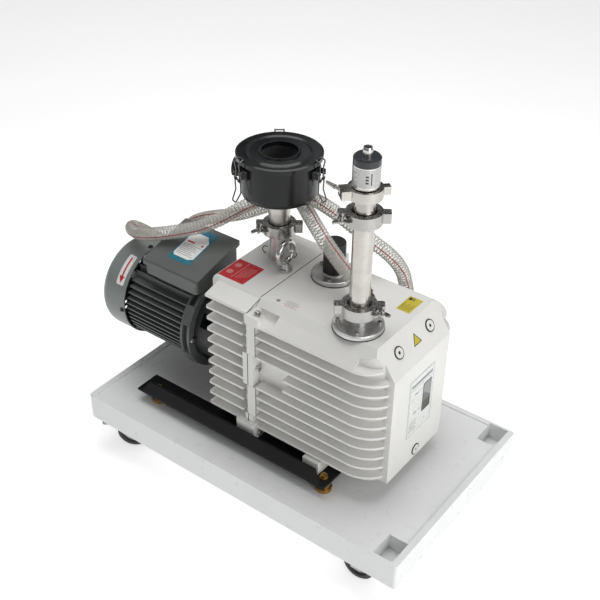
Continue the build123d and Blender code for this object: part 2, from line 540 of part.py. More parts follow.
with BuildPart() as pump_stator:
    rod_x(ROTOR_X0 - END_T, ROTOR_X1 + END_T, 0, BORE_Z, STATOR_R)
    block(ROTOR_X0 - END_T, ROTOR_X1 + END_T, -58, 58, BORE_Z - STATOR_R - 6, BORE_Z - 40)
    block(ROTOR_X0 + 20, ROTOR_X1 - 30, -24, 24, BORE_Z + 60, BORE_Z + STATOR_R + 12)
    rod_x(HOUSE_X1, ROTOR_X0 - END_T, 0, BORE_Z, 60)
    rod_x(ROTOR_X0, ROTOR_X1, 0, BORE_Z, BORE_R, mode=Mode.SUBTRACT)
    rod_x(HOUSE_X1 - 5, ROTOR_X1 + END_T + 5, 0, AXIS_Z, SEAL_BORE, mode=Mode.SUBTRACT)
    rod_z(BORE_Z, BORE_Z + STATOR_R + 20, PARTING_X + 80, -14, 7, mode=Mode.SUBTRACT)
    block(PARTING_X + 62, PARTING_X + 130, -20, 20, BORE_Z + STATOR_R + 12, BORE_Z + STATOR_R + 14)
save(pump_stator, "pump_stator")

with BuildPart() as pump_rotor:
    rod_x(ROTOR_X0 + 0.2, ROTOR_X1 - 0.2, 0, AXIS_Z, ROTOR_R)
    rod_x(PARTING_X - 145, ROTOR_X1 + END_T + 6, 0, AXIS_Z, SHAFT_R)
    for z0, z1 in ((AXIS_Z + ROTOR_R - SLOT_DEPTH, AXIS_Z + ROTOR_R + 1),
                   (AXIS_Z - ROTOR_R - 1, AXIS_Z - ROTOR_R + SLOT_DEPTH)):
        block(ROTOR_X0, ROTOR_X1, -VANE_T / 2, VANE_T / 2, z0, z1, mode=Mode.SUBTRACT)
save(pump_rotor, "pump_rotor")

with BuildPart() as pump_vanes:
    for z0, z1 in ((AXIS_Z + ROTOR_R - SLOT_DEPTH + 1, AXIS_Z + ROTOR_R - 0.5),
                   (AXIS_Z - ROTOR_R + 0.5, AXIS_Z - ROTOR_R + SLOT_DEPTH - 1)):
        block(ROTOR_X0 + 0.3, ROTOR_X1 - 0.3, -VANE_T / 2 + 0.05, VANE_T / 2 - 0.05, z0, z1)
save(pump_vanes, "pump_vanes")

# ---------------------------------------------------------------- ports on the deck
def top_flange(x, y, face_z):
    """Small flange on top of an upright tube, tapered below for its clamp."""
    rod_z(face_z - KF_FLANGE_T * 0.4, face_z, x, y, KF_FLANGE_R)
    with Locations((x, y, face_z - KF_FLANGE_T * 0.4)):
        Cone(KF_TUBE_R, KF_FLANGE_R, KF_FLANGE_T, align=DOWNWARDS)


with BuildPart() as deck_ports:
    rod_z(DECK_Z + SEAL_T, DECK_Z + SEAL_T + GAUGE_FLANGE_T, GAUGE_X, GAUGE_Y, GAUGE_FLANGE_R)
    fillet(deck_ports.edges().group_by(Axis.Z)[-1], 2)
    rod_z(DECK_Z + SEAL_T, GAUGE_JOINT_1 - KF_GAP / 2, GAUGE_X, GAUGE_Y, KF_TUBE_R)
    top_flange(GAUGE_X, GAUGE_Y, GAUGE_JOINT_1 - KF_GAP / 2)
    rod_z(DECK_Z, GAUGE_JOINT_1, GAUGE_X, GAUGE_Y, KF_BORE_R, mode=Mode.SUBTRACT)
    rod_z(DECK_Z, DECK_Z + 5, FILTER_X, FILTER_Y, KF_TUBE_R + 5)
    rod_z(DECK_Z, FILTER_JOINT_Z - KF_GAP / 2, FILTER_X, FILTER_Y, KF_TUBE_R + 1)
    top_flange(FILTER_X, FILTER_Y, FILTER_JOINT_Z - KF_GAP / 2)
    rod_z(DECK_Z, FILTER_JOINT_Z, FILTER_X, FILTER_Y, KF_BORE_R, mode=Mode.SUBTRACT)
save(deck_ports, "deck_ports")

KNOB_Z0, KNOB_Z1, KNOB_R = FOOT_Z + 352.0, FOOT_Z + 422.0, 23.5

with BuildPart() as ballast_flange:
    rod_z(DECK_Z + SEAL_T, DECK_Z + SEAL_T + BALLAST_FLANGE_T, KNOB_X, KNOB_Y, BALLAST_FLANGE_R)
    fillet(ballast_flange.edges().group_by(Axis.Z)[-1], 2.5)
    rod_z(DECK_Z + SEAL_T, KNOB_Z0 - 0.5, KNOB_X, KNOB_Y, 24)
    rod_z(DECK_Z, KNOB_Z0 + 2, KNOB_X, KNOB_Y, 8.05, mode=Mode.SUBTRACT)
save(ballast_flange, "ballast_flange")

with BuildPart() as ballast_knob:
    rod_z(DECK_Z + 6, KNOB_Z0 + 2, KNOB_X, KNOB_Y, 8)
    with BuildSketch(Plane.XY.offset(KNOB_Z0)):
        with Locations((KNOB_X, KNOB_Y)):
            Circle(KNOB_R)
            with PolarLocations(KNOB_R + 0.4, 28):
                Rectangle(2.4, 1.8, mode=Mode.SUBTRACT)
    extrude(amount=KNOB_Z1 - KNOB_Z0 - 7)
    rod_z(KNOB_Z1 - 7.5, KNOB_Z1, KNOB_X, KNOB_Y, KNOB_R - 0.4)
    chamfer(ballast_knob.edges().group_by(Axis.Z)[-1], 2)
save(ballast_knob, "ballast_knob")

EYE_RING_R, EYE_WIRE_R = 24.0, 6.5
EYE_RING_Z = DECK_Z + 43.0

with BuildPart() as eye_bolt:
    rod_z(DECK_Z, DECK_Z + 7, EYE_X, EYE_Y, 15)
    with BuildSketch(Plane.XY.offset(DECK_Z + 7)):
        with Locations((EYE_X, EYE_Y)):
            Circle(11)
    extrude(amount=EYE_RING_Z - EYE_RING_R - DECK_Z - 7, taper=12)
    with Locations(Location((EYE_X, EYE_Y, EYE_RING_Z), (0, 90, 0))):
        Torus(EYE_RING_R, EYE_WIRE_R)
save(eye_bolt, "eye_bolt")

# ---------------------------------------------------------------- motor
FRAME_R, FRAME_BORE, FRAME_FIN_R = 92.0, 87.0, 105.0
BEARING_BORE, BEARING_R, BEARING_W = 15.05, 30.0, 15.0
MOTOR_SHAFT_R = 15.0
FIN_ROWS = [13.0 * k for k in range(-5, 6)]
FRAME_FIN_T = 3.0
PEDESTAL_TOP = AXIS_Z + 107.0
BOX_X0, BOX_X1 = PARTING_X - 346.0, PARTING_X - 194.0
BOX_Y0, BOX_Y1 = -84.0, 56.0
LID_SLOPE = 0.255                     # rise of the terminal box lid towards the back
LID_T = 12.0
LID_FRONT_Z = AXIS_Z + 131.0


def lid_under(y):
    """Height of the underside of the terminal box lid."""
    return LID_FRONT_Z + (y - BOX_Y0 + 4) * LID_SLOPE


with BuildPart() as motor_frame:
    rod_x(FRAME_X0, FRAME_X1, 0, AXIS_Z, FRAME_R)
    block(BOX_X0 + 14, FRAME_X1, -62, 50, AXIS_Z + 40, PEDESTAL_TOP)
    for row in FIN_ROWS:
        reach = sqrt(FRAME_FIN_R ** 2 - row ** 2)
        block(FRAME_X0, FRAME_X1, -reach, reach, AXIS_Z + row - FRAME_FIN_T / 2, AXIS_Z + row + FRAME_FIN_T / 2)
        block(FRAME_X0, FRAME_X1, row - FRAME_FIN_T / 2, row + FRAME_FIN_T / 2, AXIS_Z - reach, AXIS_Z)
        if abs(row) > 50:
            block(FRAME_X0, FRAME_X1, row - FRAME_FIN_T / 2, row + FRAME_FIN_T / 2, AXIS_Z, AXIS_Z + reach)
    with Locations(Location((FRAME_X0 - 6, 0, AXIS_Z), (0, 90, 0))):
        with PolarLocations(100, 4, start_angle=45):
            Box(18, 16, 16)
    rod_x(FRAME_X0 + 16, FRAME_X1, 0, AXIS_Z, FRAME_BORE, mode=Mode.SUBTRACT)
    rod_x(FRAME_X0 + 2, FRAME_X0 + 16, 0, AXIS_Z, BEARING_R, mode=Mode.SUBTRACT)
    rod_x(FRAME_X0 - 1, FRAME_X0 + 16, 0, AXIS_Z, 20, mode=Mode.SUBTRACT)
    rod_z(AXIS_Z + 60, PEDESTAL_TOP, (BOX_X0 + BOX_X1) / 2, 0, 12, mode=Mode.SUBTRACT)
save(motor_frame, "motor_frame")

RIM_T = 6.0

with BuildPart() as motor_flange:
    rod_x(FRAME_X1, FLANGE_X1, 0, AXIS_Z, 103)
    rod_x(FRAME_X1, FRAME_X1 + RIM_T, 0, AXIS_Z, 116)
    rod_x(FLANGE_X1 - RIM_T, FLANGE_X1, 0, AXIS_Z, 116)
    with Locations(Location(((FRAME_X1 + FLANGE_X1) / 2, 0, AXIS_Z), (0, 90, 0))):
        with PolarLocations(108, 6, start_angle=0):
            Box(16, 46, FLANGE_X1 - FRAME_X1 - 2)
    rod_x(FRAME_X1, FLANGE_X1, 0, AXIS_Z, 78, mode=Mode.SUBTRACT)
    block(FRAME_X1, FLANGE_X1, -60, 60, PEDESTAL_TOP - 0.5, AXIS_Z + 120, mode=Mode.SUBTRACT)
    rod_x(FRAME_X1 + 4, FRAME_X1 + 14, 0, AXIS_Z, 80)
    rod_x(FRAME_X1 + 4, FRAME_X1 + 4 + BEARING_W, 0, AXIS_Z, 42)
    rod_x(FRAME_X1 + 2, FRAME_X1 + 3 + BEARING_W, 0, AXIS_Z, BEARING_R, mode=Mode.SUBTRACT)
    rod_x(FRAME_X1, FLANGE_X1, 0, AXIS_Z, 20, mode=Mode.SUBTRACT)
save(motor_flange, "motor_flange")

with BuildPart() as coupling_housing:
    rod_x(FLANGE_X1, LANTERN_X1, 0, AXIS_Z, 99)
    rod_x(FLANGE_X1, LANTERN_X1, 0, AXIS_Z, 90, mode=Mode.SUBTRACT)
    with Locations(Location(((FLANGE_X1 + LANTERN_X1) / 2, 0, AXIS_Z), (0, 90, 0))):
        with PolarLocations(95, 6, start_angle=0):
            Box(20, 34, 34, mode=Mode.SUBTRACT)
save(coupling_housing, "coupling_housing")

with BuildPart() as fan_cowl:
    with BuildSketch(Plane.XZ):
        with BuildLine():
            Polyline((COWL_X1, AXIS_Z + COWL_R - 2.5), (COWL_X1, AXIS_Z + COWL_R),
                     (COWL_X0 + 26, AXIS_Z + COWL_R))
            TangentArc((COWL_X0 + 26, AXIS_Z + COWL_R), (COWL_X0, AXIS_Z + COWL_R - 24), tangent=(-1, 0))
            Polyline((COWL_X0, AXIS_Z + COWL_R - 24), (COWL_X0, AXIS_Z), (COWL_X0 + 2.5, AXIS_Z),
                     (COWL_X0 + 2.5, AXIS_Z + COWL_R - 25))
            TangentArc((COWL_X0 + 2.5, AXIS_Z + COWL_R - 25), (COWL_X0 + 26, AXIS_Z + COWL_R - 2.5),
                       tangent=(0, 1))
            Polyline((COWL_X0 + 26, AXIS_Z + COWL_R - 2.5), (COWL_X1, AXIS_Z + COWL_R - 2.5))
        make_face()
    revolve(axis=Axis((0, 0, AXIS_Z), (1, 0, 0)))
    with BuildSketch(Plane.YZ.offset(COWL_X0 - 1)):
        with Locations((0, AXIS_Z)):
            for ring_r, count in ((24, 8), (38, 14), (52, 18), (66, 24), (80, 28)):
                with PolarLocations(ring_r, count):
                    Circle(4.4)
    extrude(amount=6, mode=Mode.SUBTRACT)
save(fan_cowl, "fan_cowl")

with BuildPart() as motor_fan:
    rod_x(COWL_X1 - 40, COWL_X1 - 12, 0, AXIS_Z, 26)
    rod_x(COWL_X1 - 15, COWL_X1 - 12, 0, AXIS_Z, 88)
    with Locations(Location((COWL_X1 - 26, 0, AXIS_Z), (0, 90, 0))):
        with PolarLocations(58, 7):
            Box(66, 3, 24)
    rod_x(COWL_X1 - 41, COWL_X1 - 11, 0, AXIS_Z, MOTOR_SHAFT_R, mode=Mode.SUBTRACT)
save(motor_fan, "motor_fan")

with BuildPart() as motor_rotor:
    rod_x(COWL_X1 - 40, FLANGE_X1 + 22, 0, AXIS_Z, MOTOR_SHAFT_R)
    rod_x(FRAME_X0 + 40, FRAME_X1 - 30, 0, AXIS_Z, 48)
save(motor_rotor, "motor_rotor")

with BuildPart() as motor_stator:
    rod_x(FRAME_X0 + 44, FRAME_X1 - 34, 0, AXIS_Z, FRAME_BORE)
    rod_x(FRAME_X0 + 30, FRAME_X1 - 20, 0, AXIS_Z, 76)
    rod_x(FRAME_X0 + 30, FRAME_X1 - 20, 0, AXIS_Z, 48.8, mode=Mode.SUBTRACT)
save(motor_stator, "motor_stator")

with BuildPart() as shaft_bearings:
    for x0 in (FRAME_X0 + 2, FRAME_X1 + 3):
        rod_x(x0, x0 + BEARING_W - 1, 0, AXIS_Z, BEARING_R - RUNNING)
        rod_x(x0, x0 + BEARING_W - 1, 0, AXIS_Z, BEARING_BORE, mode=Mode.SUBTRACT)
    rod_x(PARTING_X - 50, PARTING_X - 33, 0, AXIS_Z, 28 - RUNNING)
    rod_x(PARTING_X - 50, PARTING_X - 33, 0, AXIS_Z, SEAL_BORE, mode=Mode.SUBTRACT)
save(shaft_bearings, "shaft_bearings")

HUB_R = 34.0
MOTOR_HUB = (FLANGE_X1 + 4, FLANGE_X1 + 22)
PUMP_HUB = (PARTING_X - 145, PARTING_X - 112)

with BuildPart() as shaft_coupling:
    rod_x(*MOTOR_HUB, 0, AXIS_Z, HUB_R)
    rod_x(MOTOR_HUB[0] - 1, MOTOR_HUB[1], 0, AXIS_Z, MOTOR_SHAFT_R, mode=Mode.SUBTRACT)
    rod_x(*PUMP_HUB, 0, AXIS_Z, HUB_R)
    rod_x(PUMP_HUB[0], PUMP_HUB[1] + 1, 0, AXIS_Z, SHAFT_R, mode=Mode.SUBTRACT)
    rod_x(MOTOR_HUB[1], PUMP_HUB[0], 0, AXIS_Z, HUB_R - 3)
save(shaft_coupling, "shaft_coupling")

with BuildPart() as terminal_box:
    with BuildSketch(Plane.YZ.offset(BOX_X0)):
        with BuildLine():
            Polyline((BOX_Y0, PEDESTAL_TOP), (BOX_Y0, lid_under(BOX_Y0)), (BOX_Y1, lid_under(BOX_Y1)),
                     (BOX_Y1, PEDESTAL_TOP), close=True)
        make_face()
    extrude(amount=BOX_X1 - BOX_X0)
    fillet(terminal_box.edges().filter_by(Axis.Z), 8)
    with BuildSketch(Plane.YZ.offset(BOX_X0 + 4)):
        with BuildLine():
            Polyline((BOX_Y0 + 4, PEDESTAL_TOP + 4), (BOX_Y0 + 4, lid_under(BOX_Y0 + 4) + 2),
                     (BOX_Y1 - 4, lid_under(BOX_Y1 - 4) + 2), (BOX_Y1 - 4, PEDESTAL_TOP + 4), close=True)
        make_face()
    extrude(amount=BOX_X1 - BOX_X0 - 8, mode=Mode.SUBTRACT)
    rod_z(PEDESTAL_TOP, PEDESTAL_TOP + 5, (BOX_X0 + BOX_X1) / 2, 0, 12, mode=Mode.SUBTRACT)
    rod_y(BOX_Y1 - 5, BOX_Y1, (BOX_X0 + BOX_X1) / 2, PEDESTAL_TOP + 30, 8, mode=Mode.SUBTRACT)
    rod_y(BOX_Y1, BOX_Y1 + 20, (BOX_X0 + BOX_X1) / 2, PEDESTAL_TOP + 30, 12)
    rod_y(BOX_Y1, BOX_Y1 + 21, (BOX_X0 + BOX_X1) / 2, PEDESTAL_TOP + 30, 6, mode=Mode.SUBTRACT)
save(terminal_box, "terminal_box")

LID_X0, LID_X1 = BOX_X0 - 4.0, BOX_X1 + 4.0
LID_Y0, LID_Y1 = BOX_Y0 - 4.0, BOX_Y1 + 4.0

with BuildPart() as terminal_lid:
    with BuildSketch(Plane.YZ.offset(LID_X0)):
        with BuildLine():
            Polyline((LID_Y0, lid_under(LID_Y0)), (LID_Y0, lid_under(LID_Y0) + LID_T - 2),
                     (LID_Y0 + 4, lid_under(LID_Y0 + 4) + LID_T), (LID_Y1 - 4, lid_under(LID_Y1 - 4) + LID_T),
                     (LID_Y1, lid_under(LID_Y1) + LID_T - 2), (LID_Y1, lid_under(LID_Y1)), close=True)
        make_face()
    extrude(amount=LID_X1 - LID_X0)
    fillet(terminal_lid.edges().filter_by(Axis.Z), 4)
save(terminal_lid, "terminal_lid")

# ---------------------------------------------------------------- inlet filter
NECK_R = 23.5
CAN_WALL = 2.0
LID_Z = CAN_Z1 - 3.0
STUB_TURN, STUB_Z, STUB_R = 200.0, FOOT_Z + 535.0, 20.0
LATCH_TURNS = (128.0, 248.0, 8.0)
LATCH_R, LATCH_Z = 93.0, FOOT_Z + 557.0      # lever pivot from the can's axis, and its height
LATCH_WIRE = 1.5
BAIL_OUT, BAIL_DOWN = 3.0, 12.0              # bail pivot from the lever pivot, latch closed
FILTER_AXIS = Location((FILTER_X, FILTER_Y, 0))


def around_filter(turn):
    """The filter's axis, turned so that +X points at one latch or port."""
    return FILTER_AXIS * Location((0, 0, 0), (0, 0, turn))


with BuildPart() as filter_can:
    with BuildSketch(Plane.XZ):
        with BuildLine():
            Polyline((KF_BORE_R, FILTER_JOINT_Z + 1), (KF_FLANGE_R, FILTER_JOINT_Z + 1),
                     (KF_FLANGE_R, FILTER_JOINT_Z + 1 + KF_FLANGE_T * 0.4),
                     (NECK_R - 2, FILTER_JOINT_Z + 1 + KF_FLANGE_T * 1.4), (NECK_R, FILTER_JOINT_Z + 40),
                     (NECK_R, CAN_Z0 - 2), (30, CAN_Z0), (68, CAN_Z0), (CAN_R - 4, CAN_Z0 + 4),
                     (CAN_R - 2, CAN_Z0 + 12), (CAN_R + 1, LID_Z), (CAN_R + 1 - CAN_WALL, LID_Z),
                     (CAN_R - 2 - CAN_WALL, CAN_Z0 + 13), (66, CAN_Z0 + CAN_WALL), (NECK_R - 3, CAN_Z0 + CAN_WALL),
                     (NECK_R - 3, FILTER_JOINT_Z + 40), (KF_BORE_R, FILTER_JOINT_Z + 10), close=True)
        make_face()
    revolve(axis=Axis.Z)
    with Locations(Location((0, 0, 0), (0, 0, STUB_TURN))):
        with Locations(Location((86, 0, STUB_Z), (0, 90, 0))):
            Cylinder(STUB_R, 22)
            Cylinder(STUB_R - 2, 23, mode=Mode.SUBTRACT)
    for turn in LATCH_TURNS:
        with Locations(Location((0, 0, 0), (0, 0, turn))):
            with Locations((CAN_R + 2.5, 0, LATCH_Z - 1)):
                Box(4, 32, 22)
            with Locations((CAN_R + 8, -15, LATCH_Z), (CAN_R + 8, 15, LATCH_Z)):
                Box(14, 2, 12)
            with Locations(Location((LATCH_R, -12.2, LATCH_Z), (90, 0, 0)),
                           Location((LATCH_R, 12.2, LATCH_Z), (90, 0, 0))):
                Cylinder(1.6, 5)
filter_can.part.position = (FILTER_X, FILTER_Y, 0)
save(filter_can, "filter_can")

with BuildPart() as filter_lid:
    with BuildSketch(Plane.XZ):
        with BuildLine():
            Polyline((LID_HOLE_R, LID_Z), (LID_R - 5.5, LID_Z), (LID_R - 4, LID_Z - 5), (LID_R, LID_Z - 4),
                     (LID_R, LID_Z + 5), (LID_R - 4, LID_Z + 7), (LID_R - 16, LID_Z + 5), (LID_R - 22, LID_Z + 3),
                     (LID_R - 28, LID_Z + 6), (LID_HOLE_R + 6, LID_Z + 4), (LID_HOLE_R + 3, LID_Z + 8),
                     (LID_HOLE_R, LID_Z + 8), close=True)
        make_face()
    revolve(axis=Axis.Z)
filter_lid.part.position = (FILTER_X, FILTER_Y, 0)
save(filter_lid, "filter_lid")

with BuildPart() as filter_element:
    with Locations((FILTER_X, FILTER_Y, CAN_Z0 + CAN_WALL)):
        Cylinder(64, LID_Z - CAN_Z0 - CAN_WALL - 8, align=UPWARDS)
        Cylinder(42, LID_Z - CAN_Z0 - CAN_WALL, align=UPWARDS, mode=Mode.SUBTRACT)
save(filter_element, "filter_element")


def wire(points, r, bends):
    """A bent round wire through the given points."""
    with BuildPart(mode=Mode.PRIVATE) as piece:
        with BuildLine() as run:
            FilletPolyline(*points, radius=bends)
        with BuildSketch(Plane(origin=run.line @ 0, z_dir=run.line % 0)):
            Circle(r)
        sweep()
    return piece.part


LEVER_HALF, BAIL_HALF = 11.5, 7.0
BAIL_PIVOT = (LATCH_R + BAIL_OUT, LATCH_Z - BAIL_DOWN)

with BuildPart(mode=Mode.PRIVATE) as lever_master:
    add(wire([(LATCH_R, -LEVER_HALF, LATCH_Z - 2.5), (*BAIL_PIVOT[:1], -LEVER_HALF, BAIL_PIVOT[1]),
              (LATCH_R + 2, -LEVER_HALF + 1, LATCH_Z - 38), (LATCH_R + 12, -7, LATCH_Z - 58),
              (LATCH_R + 12, 7, LATCH_Z - 58), (LATCH_R + 2, LEVER_HALF - 1, LATCH_Z - 38),
              (*BAIL_PIVOT[:1], LEVER_HALF, BAIL_PIVOT[1]), (LATCH_R, LEVER_HALF, LATCH_Z - 2.5)],
             LATCH_WIRE, 4))
    with Locations(Location((LATCH_R, -LEVER_HALF, LATCH_Z), (90, 0, 0)),
                   Location((LATCH_R, LEVER_HALF, LATCH_Z), (90, 0, 0))):
        Cylinder(3.4, 3.8)
        Cylinder(1.65, 5, mode=Mode.SUBTRACT)
    with Locations(Location((BAIL_PIVOT[0], 0, BAIL_PIVOT[1]), (90, 0, 0))):
        Cylinder(1.6, 2 * LEVER_HALF + 5)

with BuildPart(mode=Mode.PRIVATE) as bail_master:
    add(wire([(BAIL_PIVOT[0], -BAIL_HALF, BAIL_PIVOT[1] + 2.5), (LATCH_R + 2, -BAIL_HALF, LATCH_Z + 8),
              (LATCH_R + 5, -BAIL_HALF - 3, LID_Z + 6), (LID_R - 3, -BAIL_HALF - 1, LID_Z + 10.5),
              (LID_R - 3, BAIL_HALF + 1, LID_Z + 10.5), (LATCH_R + 5, BAIL_HALF + 3, LID_Z + 6),
              (LATCH_R + 2, BAIL_HALF, LATCH_Z + 8), (BAIL_PIVOT[0], BAIL_HALF, BAIL_PIVOT[1] + 2.5)],
             LATCH_WIRE, 3.5))
    with Locations(Location((BAIL_PIVOT[0], -BAIL_HALF, BAIL_PIVOT[1]), (90, 0, 0)),
                   Location((BAIL_PIVOT[0], BAIL_HALF, BAIL_PIVOT[1]), (90, 0, 0))):
        Cylinder(3.4, 3.8)
        Cylinder(1.65, 5, mode=Mode.SUBTRACT)

for number, turn in enumerate(LATCH_TURNS, start=1):
    with BuildPart() as latch_lever:
        with Locations(around_filter(turn)):
            add(lever_master.part)
    save(latch_lever, f"latch_lever_{number}")
    with BuildPart() as latch_bail:
        with Locations(around_filter(turn)):
            add(bail_master.part)
    save(latch_bail, f"latch_bail_{number}")

# ---------------------------------------------------------------- gauge stack
ADAPTER_TOP_R = 17.0
BODY_R = 25.5
BODY_Z0, BODY_Z1, CAP_Z1, PLUG_Z1 = FOOT_Z + 647.0, FOOT_Z + 690.0, FOOT_Z + 706.0, FOOT_Z + 722.0


def small_flange(face_z, up, neck_r):
    """Half profile of a small flange, from its face to its neck: tapered at the back for the clamp."""
    return [(KF_FLANGE_R, face_z), (KF_FLANGE_R, face_z + up * KF_FLANGE_T * 0.4),
            (neck_r, face_z + up * KF_FLANGE_T * 1.4)]


TUBE_Z0, TUBE_Z1 = GAUGE_JOINT_1 + KF_GAP / 2, GAUGE_JOINT_2 - KF_GAP / 2
ADAPTER_Z0, ADAPTER_Z1 = GAUGE_JOINT_2 + KF_GAP / 2, GAUGE_JOINT_3 - KF_GAP / 2
HEAD_Z0 = GAUGE_JOINT_3 + KF_GAP / 2

with BuildPart() as gauge_tube:
    with BuildSketch(Plane.XZ):
        with BuildLine():
            Polyline((KF_BORE_R, TUBE_Z0), *small_flange(TUBE_Z0, 1, KF_TUBE_R),
                     *reversed(small_flange(TUBE_Z1, -1, KF_TUBE_R)), (KF_BORE_R, TUBE_Z1), close=True)
        make_face()
    revolve(axis=Axis.Z)
gauge_tube.part.position = (GAUGE_X, GAUGE_Y, 0)
save(gauge_tube, "gauge_tube")

with BuildPart() as gauge_adapter:
    with BuildSketch(Plane.XZ):
        with BuildLine():
            Polyline((KF_BORE_R, ADAPTER_Z0), *small_flange(ADAPTER_Z0, 1, KF_TUBE_R + 0.5),
                     (KF_TUBE_R + 0.5, ADAPTER_Z0 + 10), (ADAPTER_TOP_R, ADAPTER_Z1 - 10),
                     *reversed(small_flange(ADAPTER_Z1, -1, ADAPTER_TOP_R)), (ADAPTER_TOP_R - 3, ADAPTER_Z1),
                     (ADAPTER_TOP_R - 3, ADAPTER_Z1 - 12), (KF_BORE_R, ADAPTER_Z0 + 8), close=True)
        make_face()
    revolve(axis=Axis.Z)
gauge_adapter.part.position = (GAUGE_X, GAUGE_Y, 0)
save(gauge_adapter, "gauge_adapter")

with BuildPart() as gauge_body:
    with BuildSketch(Plane.XZ):
        with BuildLine():
            Polyline((0, HEAD_Z0), *small_flange(HEAD_Z0, 1, ADAPTER_TOP_R), (ADAPTER_TOP_R, BODY_Z0 - 1),
                     (BODY_R - 1, BODY_Z0), (BODY_R, BODY_Z0 + 2), (BODY_R, CAP_Z1 - 3), (BODY_R - 3, CAP_Z1),
                     (9.5, CAP_Z1), (9.5, PLUG_Z1 - 4), (8, PLUG_Z1), (5.5, PLUG_Z1), (5.5, PLUG_Z1 - 8),
                     (0, PLUG_Z1 - 8), close=True)
        make_face()
    revolve(axis=Axis.Z)
gauge_body.part.position = (GAUGE_X, GAUGE_Y, 0)
save(gauge_body, "gauge_body")

# ---------------------------------------------------------------- clamps on the small flanges
GROOVE_R = KF_FLANGE_R + 0.4
CLAMP_LIP_R = 23.8
CLAMP_SPLIT = 1.6
EAR_X, EAR_T = 42.5, 9.0
BOLT_R, BOLT_LEN = 3.0, 40.0
NUT_Y = CLAMP_SPLIT / 2 + EAR_T


def clamp_halves():
    """Two half rings with ears and a bolt; the ears point along X and the nut faces -Y."""
    with BuildPart(mode=Mode.PRIVATE) as clamp:
        Cylinder(CLAMP_R, CLAMP_H)
        with BuildSketch(Plane.XY.offset(-CLAMP_H / 2 + 2)):
            Rectangle(2 * CLAMP_EAR, 2 * (EAR_T + CLAMP_SPLIT / 2))
        extrude(amount=CLAMP_H - 4)
        fillet(clamp.edges().filter_by(Axis.Z).group_by(Axis.X)[0], 3)
        fillet(clamp.edges().filter_by(Axis.Z).group_by(Axis.X)[-1], 3)
        with BuildSketch(Plane.XZ):
            with BuildLine():
                Polyline((0, -CLAMP_H / 2), (CLAMP_LIP_R, -CLAMP_H / 2), (CLAMP_LIP_R, -5.6), (GROOVE_R, -2.9),
                         (GROOVE_R, 2.9), (CLAMP_LIP_R, 5.6), (CLAMP_LIP_R, CLAMP_H / 2), (0, CLAMP_H / 2), close=True)
            make_face()
        revolve(axis=Axis.Z, mode=Mode.SUBTRACT)
        Box(2 * CLAMP_EAR + 4, CLAMP_SPLIT, CLAMP_H + 2, mode=Mode.SUBTRACT)
        with Locations(Location((-EAR_X, 0, 0), (90, 0, 0))):
            Cylinder(BOLT_R + 0.4, 40, mode=Mode.SUBTRACT)
        with Locations(Location((-EAR_X, NUT_Y + 2 - BOLT_LEN / 2, 0), (90, 0, 0))):
            Cylinder(BOLT_R, BOLT_LEN)
        with Locations((-EAR_X, NUT_Y + 2.5, 0)):
            Box(10, 5, 10)
    return clamp.part



with BuildPart(mode=Mode.PRIVATE) as wing_master:
    with Locations(Location((-EAR_X, -NUT_Y - 5, 0), (90, 0, 0))):
        Cylinder(6, 10)
    for side in (-1, 1):
        with BuildSketch(Plane.XY.offset(-1.6)):
            with Locations((-EAR_X + side * 10, -NUT_Y - 13)):
                Ellipse(4.2, 8.5, rotation=side * 38)
        extrude(amount=3.2)
    with Locations(Location((-EAR_X, -NUT_Y - 10, 0), (90, 0, 0))):
        Cylinder(BOLT_R + RUNNING, 60, mode=Mode.SUBTRACT)

CLAMP_SPOTS = (Location((FILTER_X, FILTER_Y, FILTER_JOINT_Z), (0, 0, CLAMP_TURN)),
               Location((GAUGE_X, GAUGE_Y, GAUGE_JOINT_1), (0, 0, CLAMP_TURN)) * Location((0, 0, 0), (180, 0, 180)),
               Location((GAUGE_X, GAUGE_Y, GAUGE_JOINT_2), (0, 0, CLAMP_TURN)))
clamp_master = clamp_halves()

with BuildPart() as kf_clamps:
    with Locations(*CLAMP_SPOTS):
        add(clamp_master)
save(kf_clamps, "kf_clamps")

for number, spot in enumerate(CLAMP_SPOTS, start=1):
    with BuildPart() as wing_nut:
        with Locations(spot):
            add(wing_master.part)
    save(wing_nut, f"wing_nut_{number}")

# ---------------------------------------------------------------- lever clamp under the gauge
LEVER_TURN = 228.0                    # where the jaws meet, round the gauge axis
JAW_R, JAW_H = 33.0, 20.0
LUG_X = 47.0
CAM_X, CAM_Y = 41.5, -8.0
ARM_TURN = -62.0
LEVER_SPOT = Location((GAUGE_X, GAUGE_Y, GAUGE_JOINT_3), (0, 0, LEVER_TURN))

with BuildPart(mode=Mode.PRIVATE) as jaws:
    Cylinder(JAW_R, JAW_H)
    with Locations(((JAW_R + LUG_X) / 2 - 2, 0, 0)):
        Box(LUG_X - JAW_R + 4, 30, JAW_H - 2)
    with Locations((-JAW_R - 4, 0, 0)):
        Box(16, 14, JAW_H - 4)
    with BuildSketch(Plane.XZ):
        with BuildLine():
            Polyline((0, -JAW_H / 2), (CLAMP_LIP_R, -JAW_H / 2), (CLAMP_LIP_R, -5.6), (GROOVE_R, -2.9),
                     (GROOVE_R, 2.9), (CLAMP_LIP_R, 5.6), (CLAMP_LIP_R, JAW_H / 2), (0, JAW_H / 2), close=True)
        make_face()
    revolve(axis=Axis.Z, mode=Mode.SUBTRACT)
    with Locations((LUG_X / 2, 0, 0)):
        Box(LUG_X + 2, CLAMP_SPLIT, JAW_H + 2, mode=Mode.SUBTRACT)
    with Locations((CAM_X + 3, CAM_Y - 0.5, 0)):
        Box(19, 17, 10.8, mode=Mode.SUBTRACT)
    with Locations((CAM_X, CAM_Y, 0)):
        Cylinder(2.5, JAW_H - 2)

with BuildPart() as lever_clamp:
    with Locations(LEVER_SPOT):
        add(jaws.part)
save(lever_clamp, "lever_clamp")

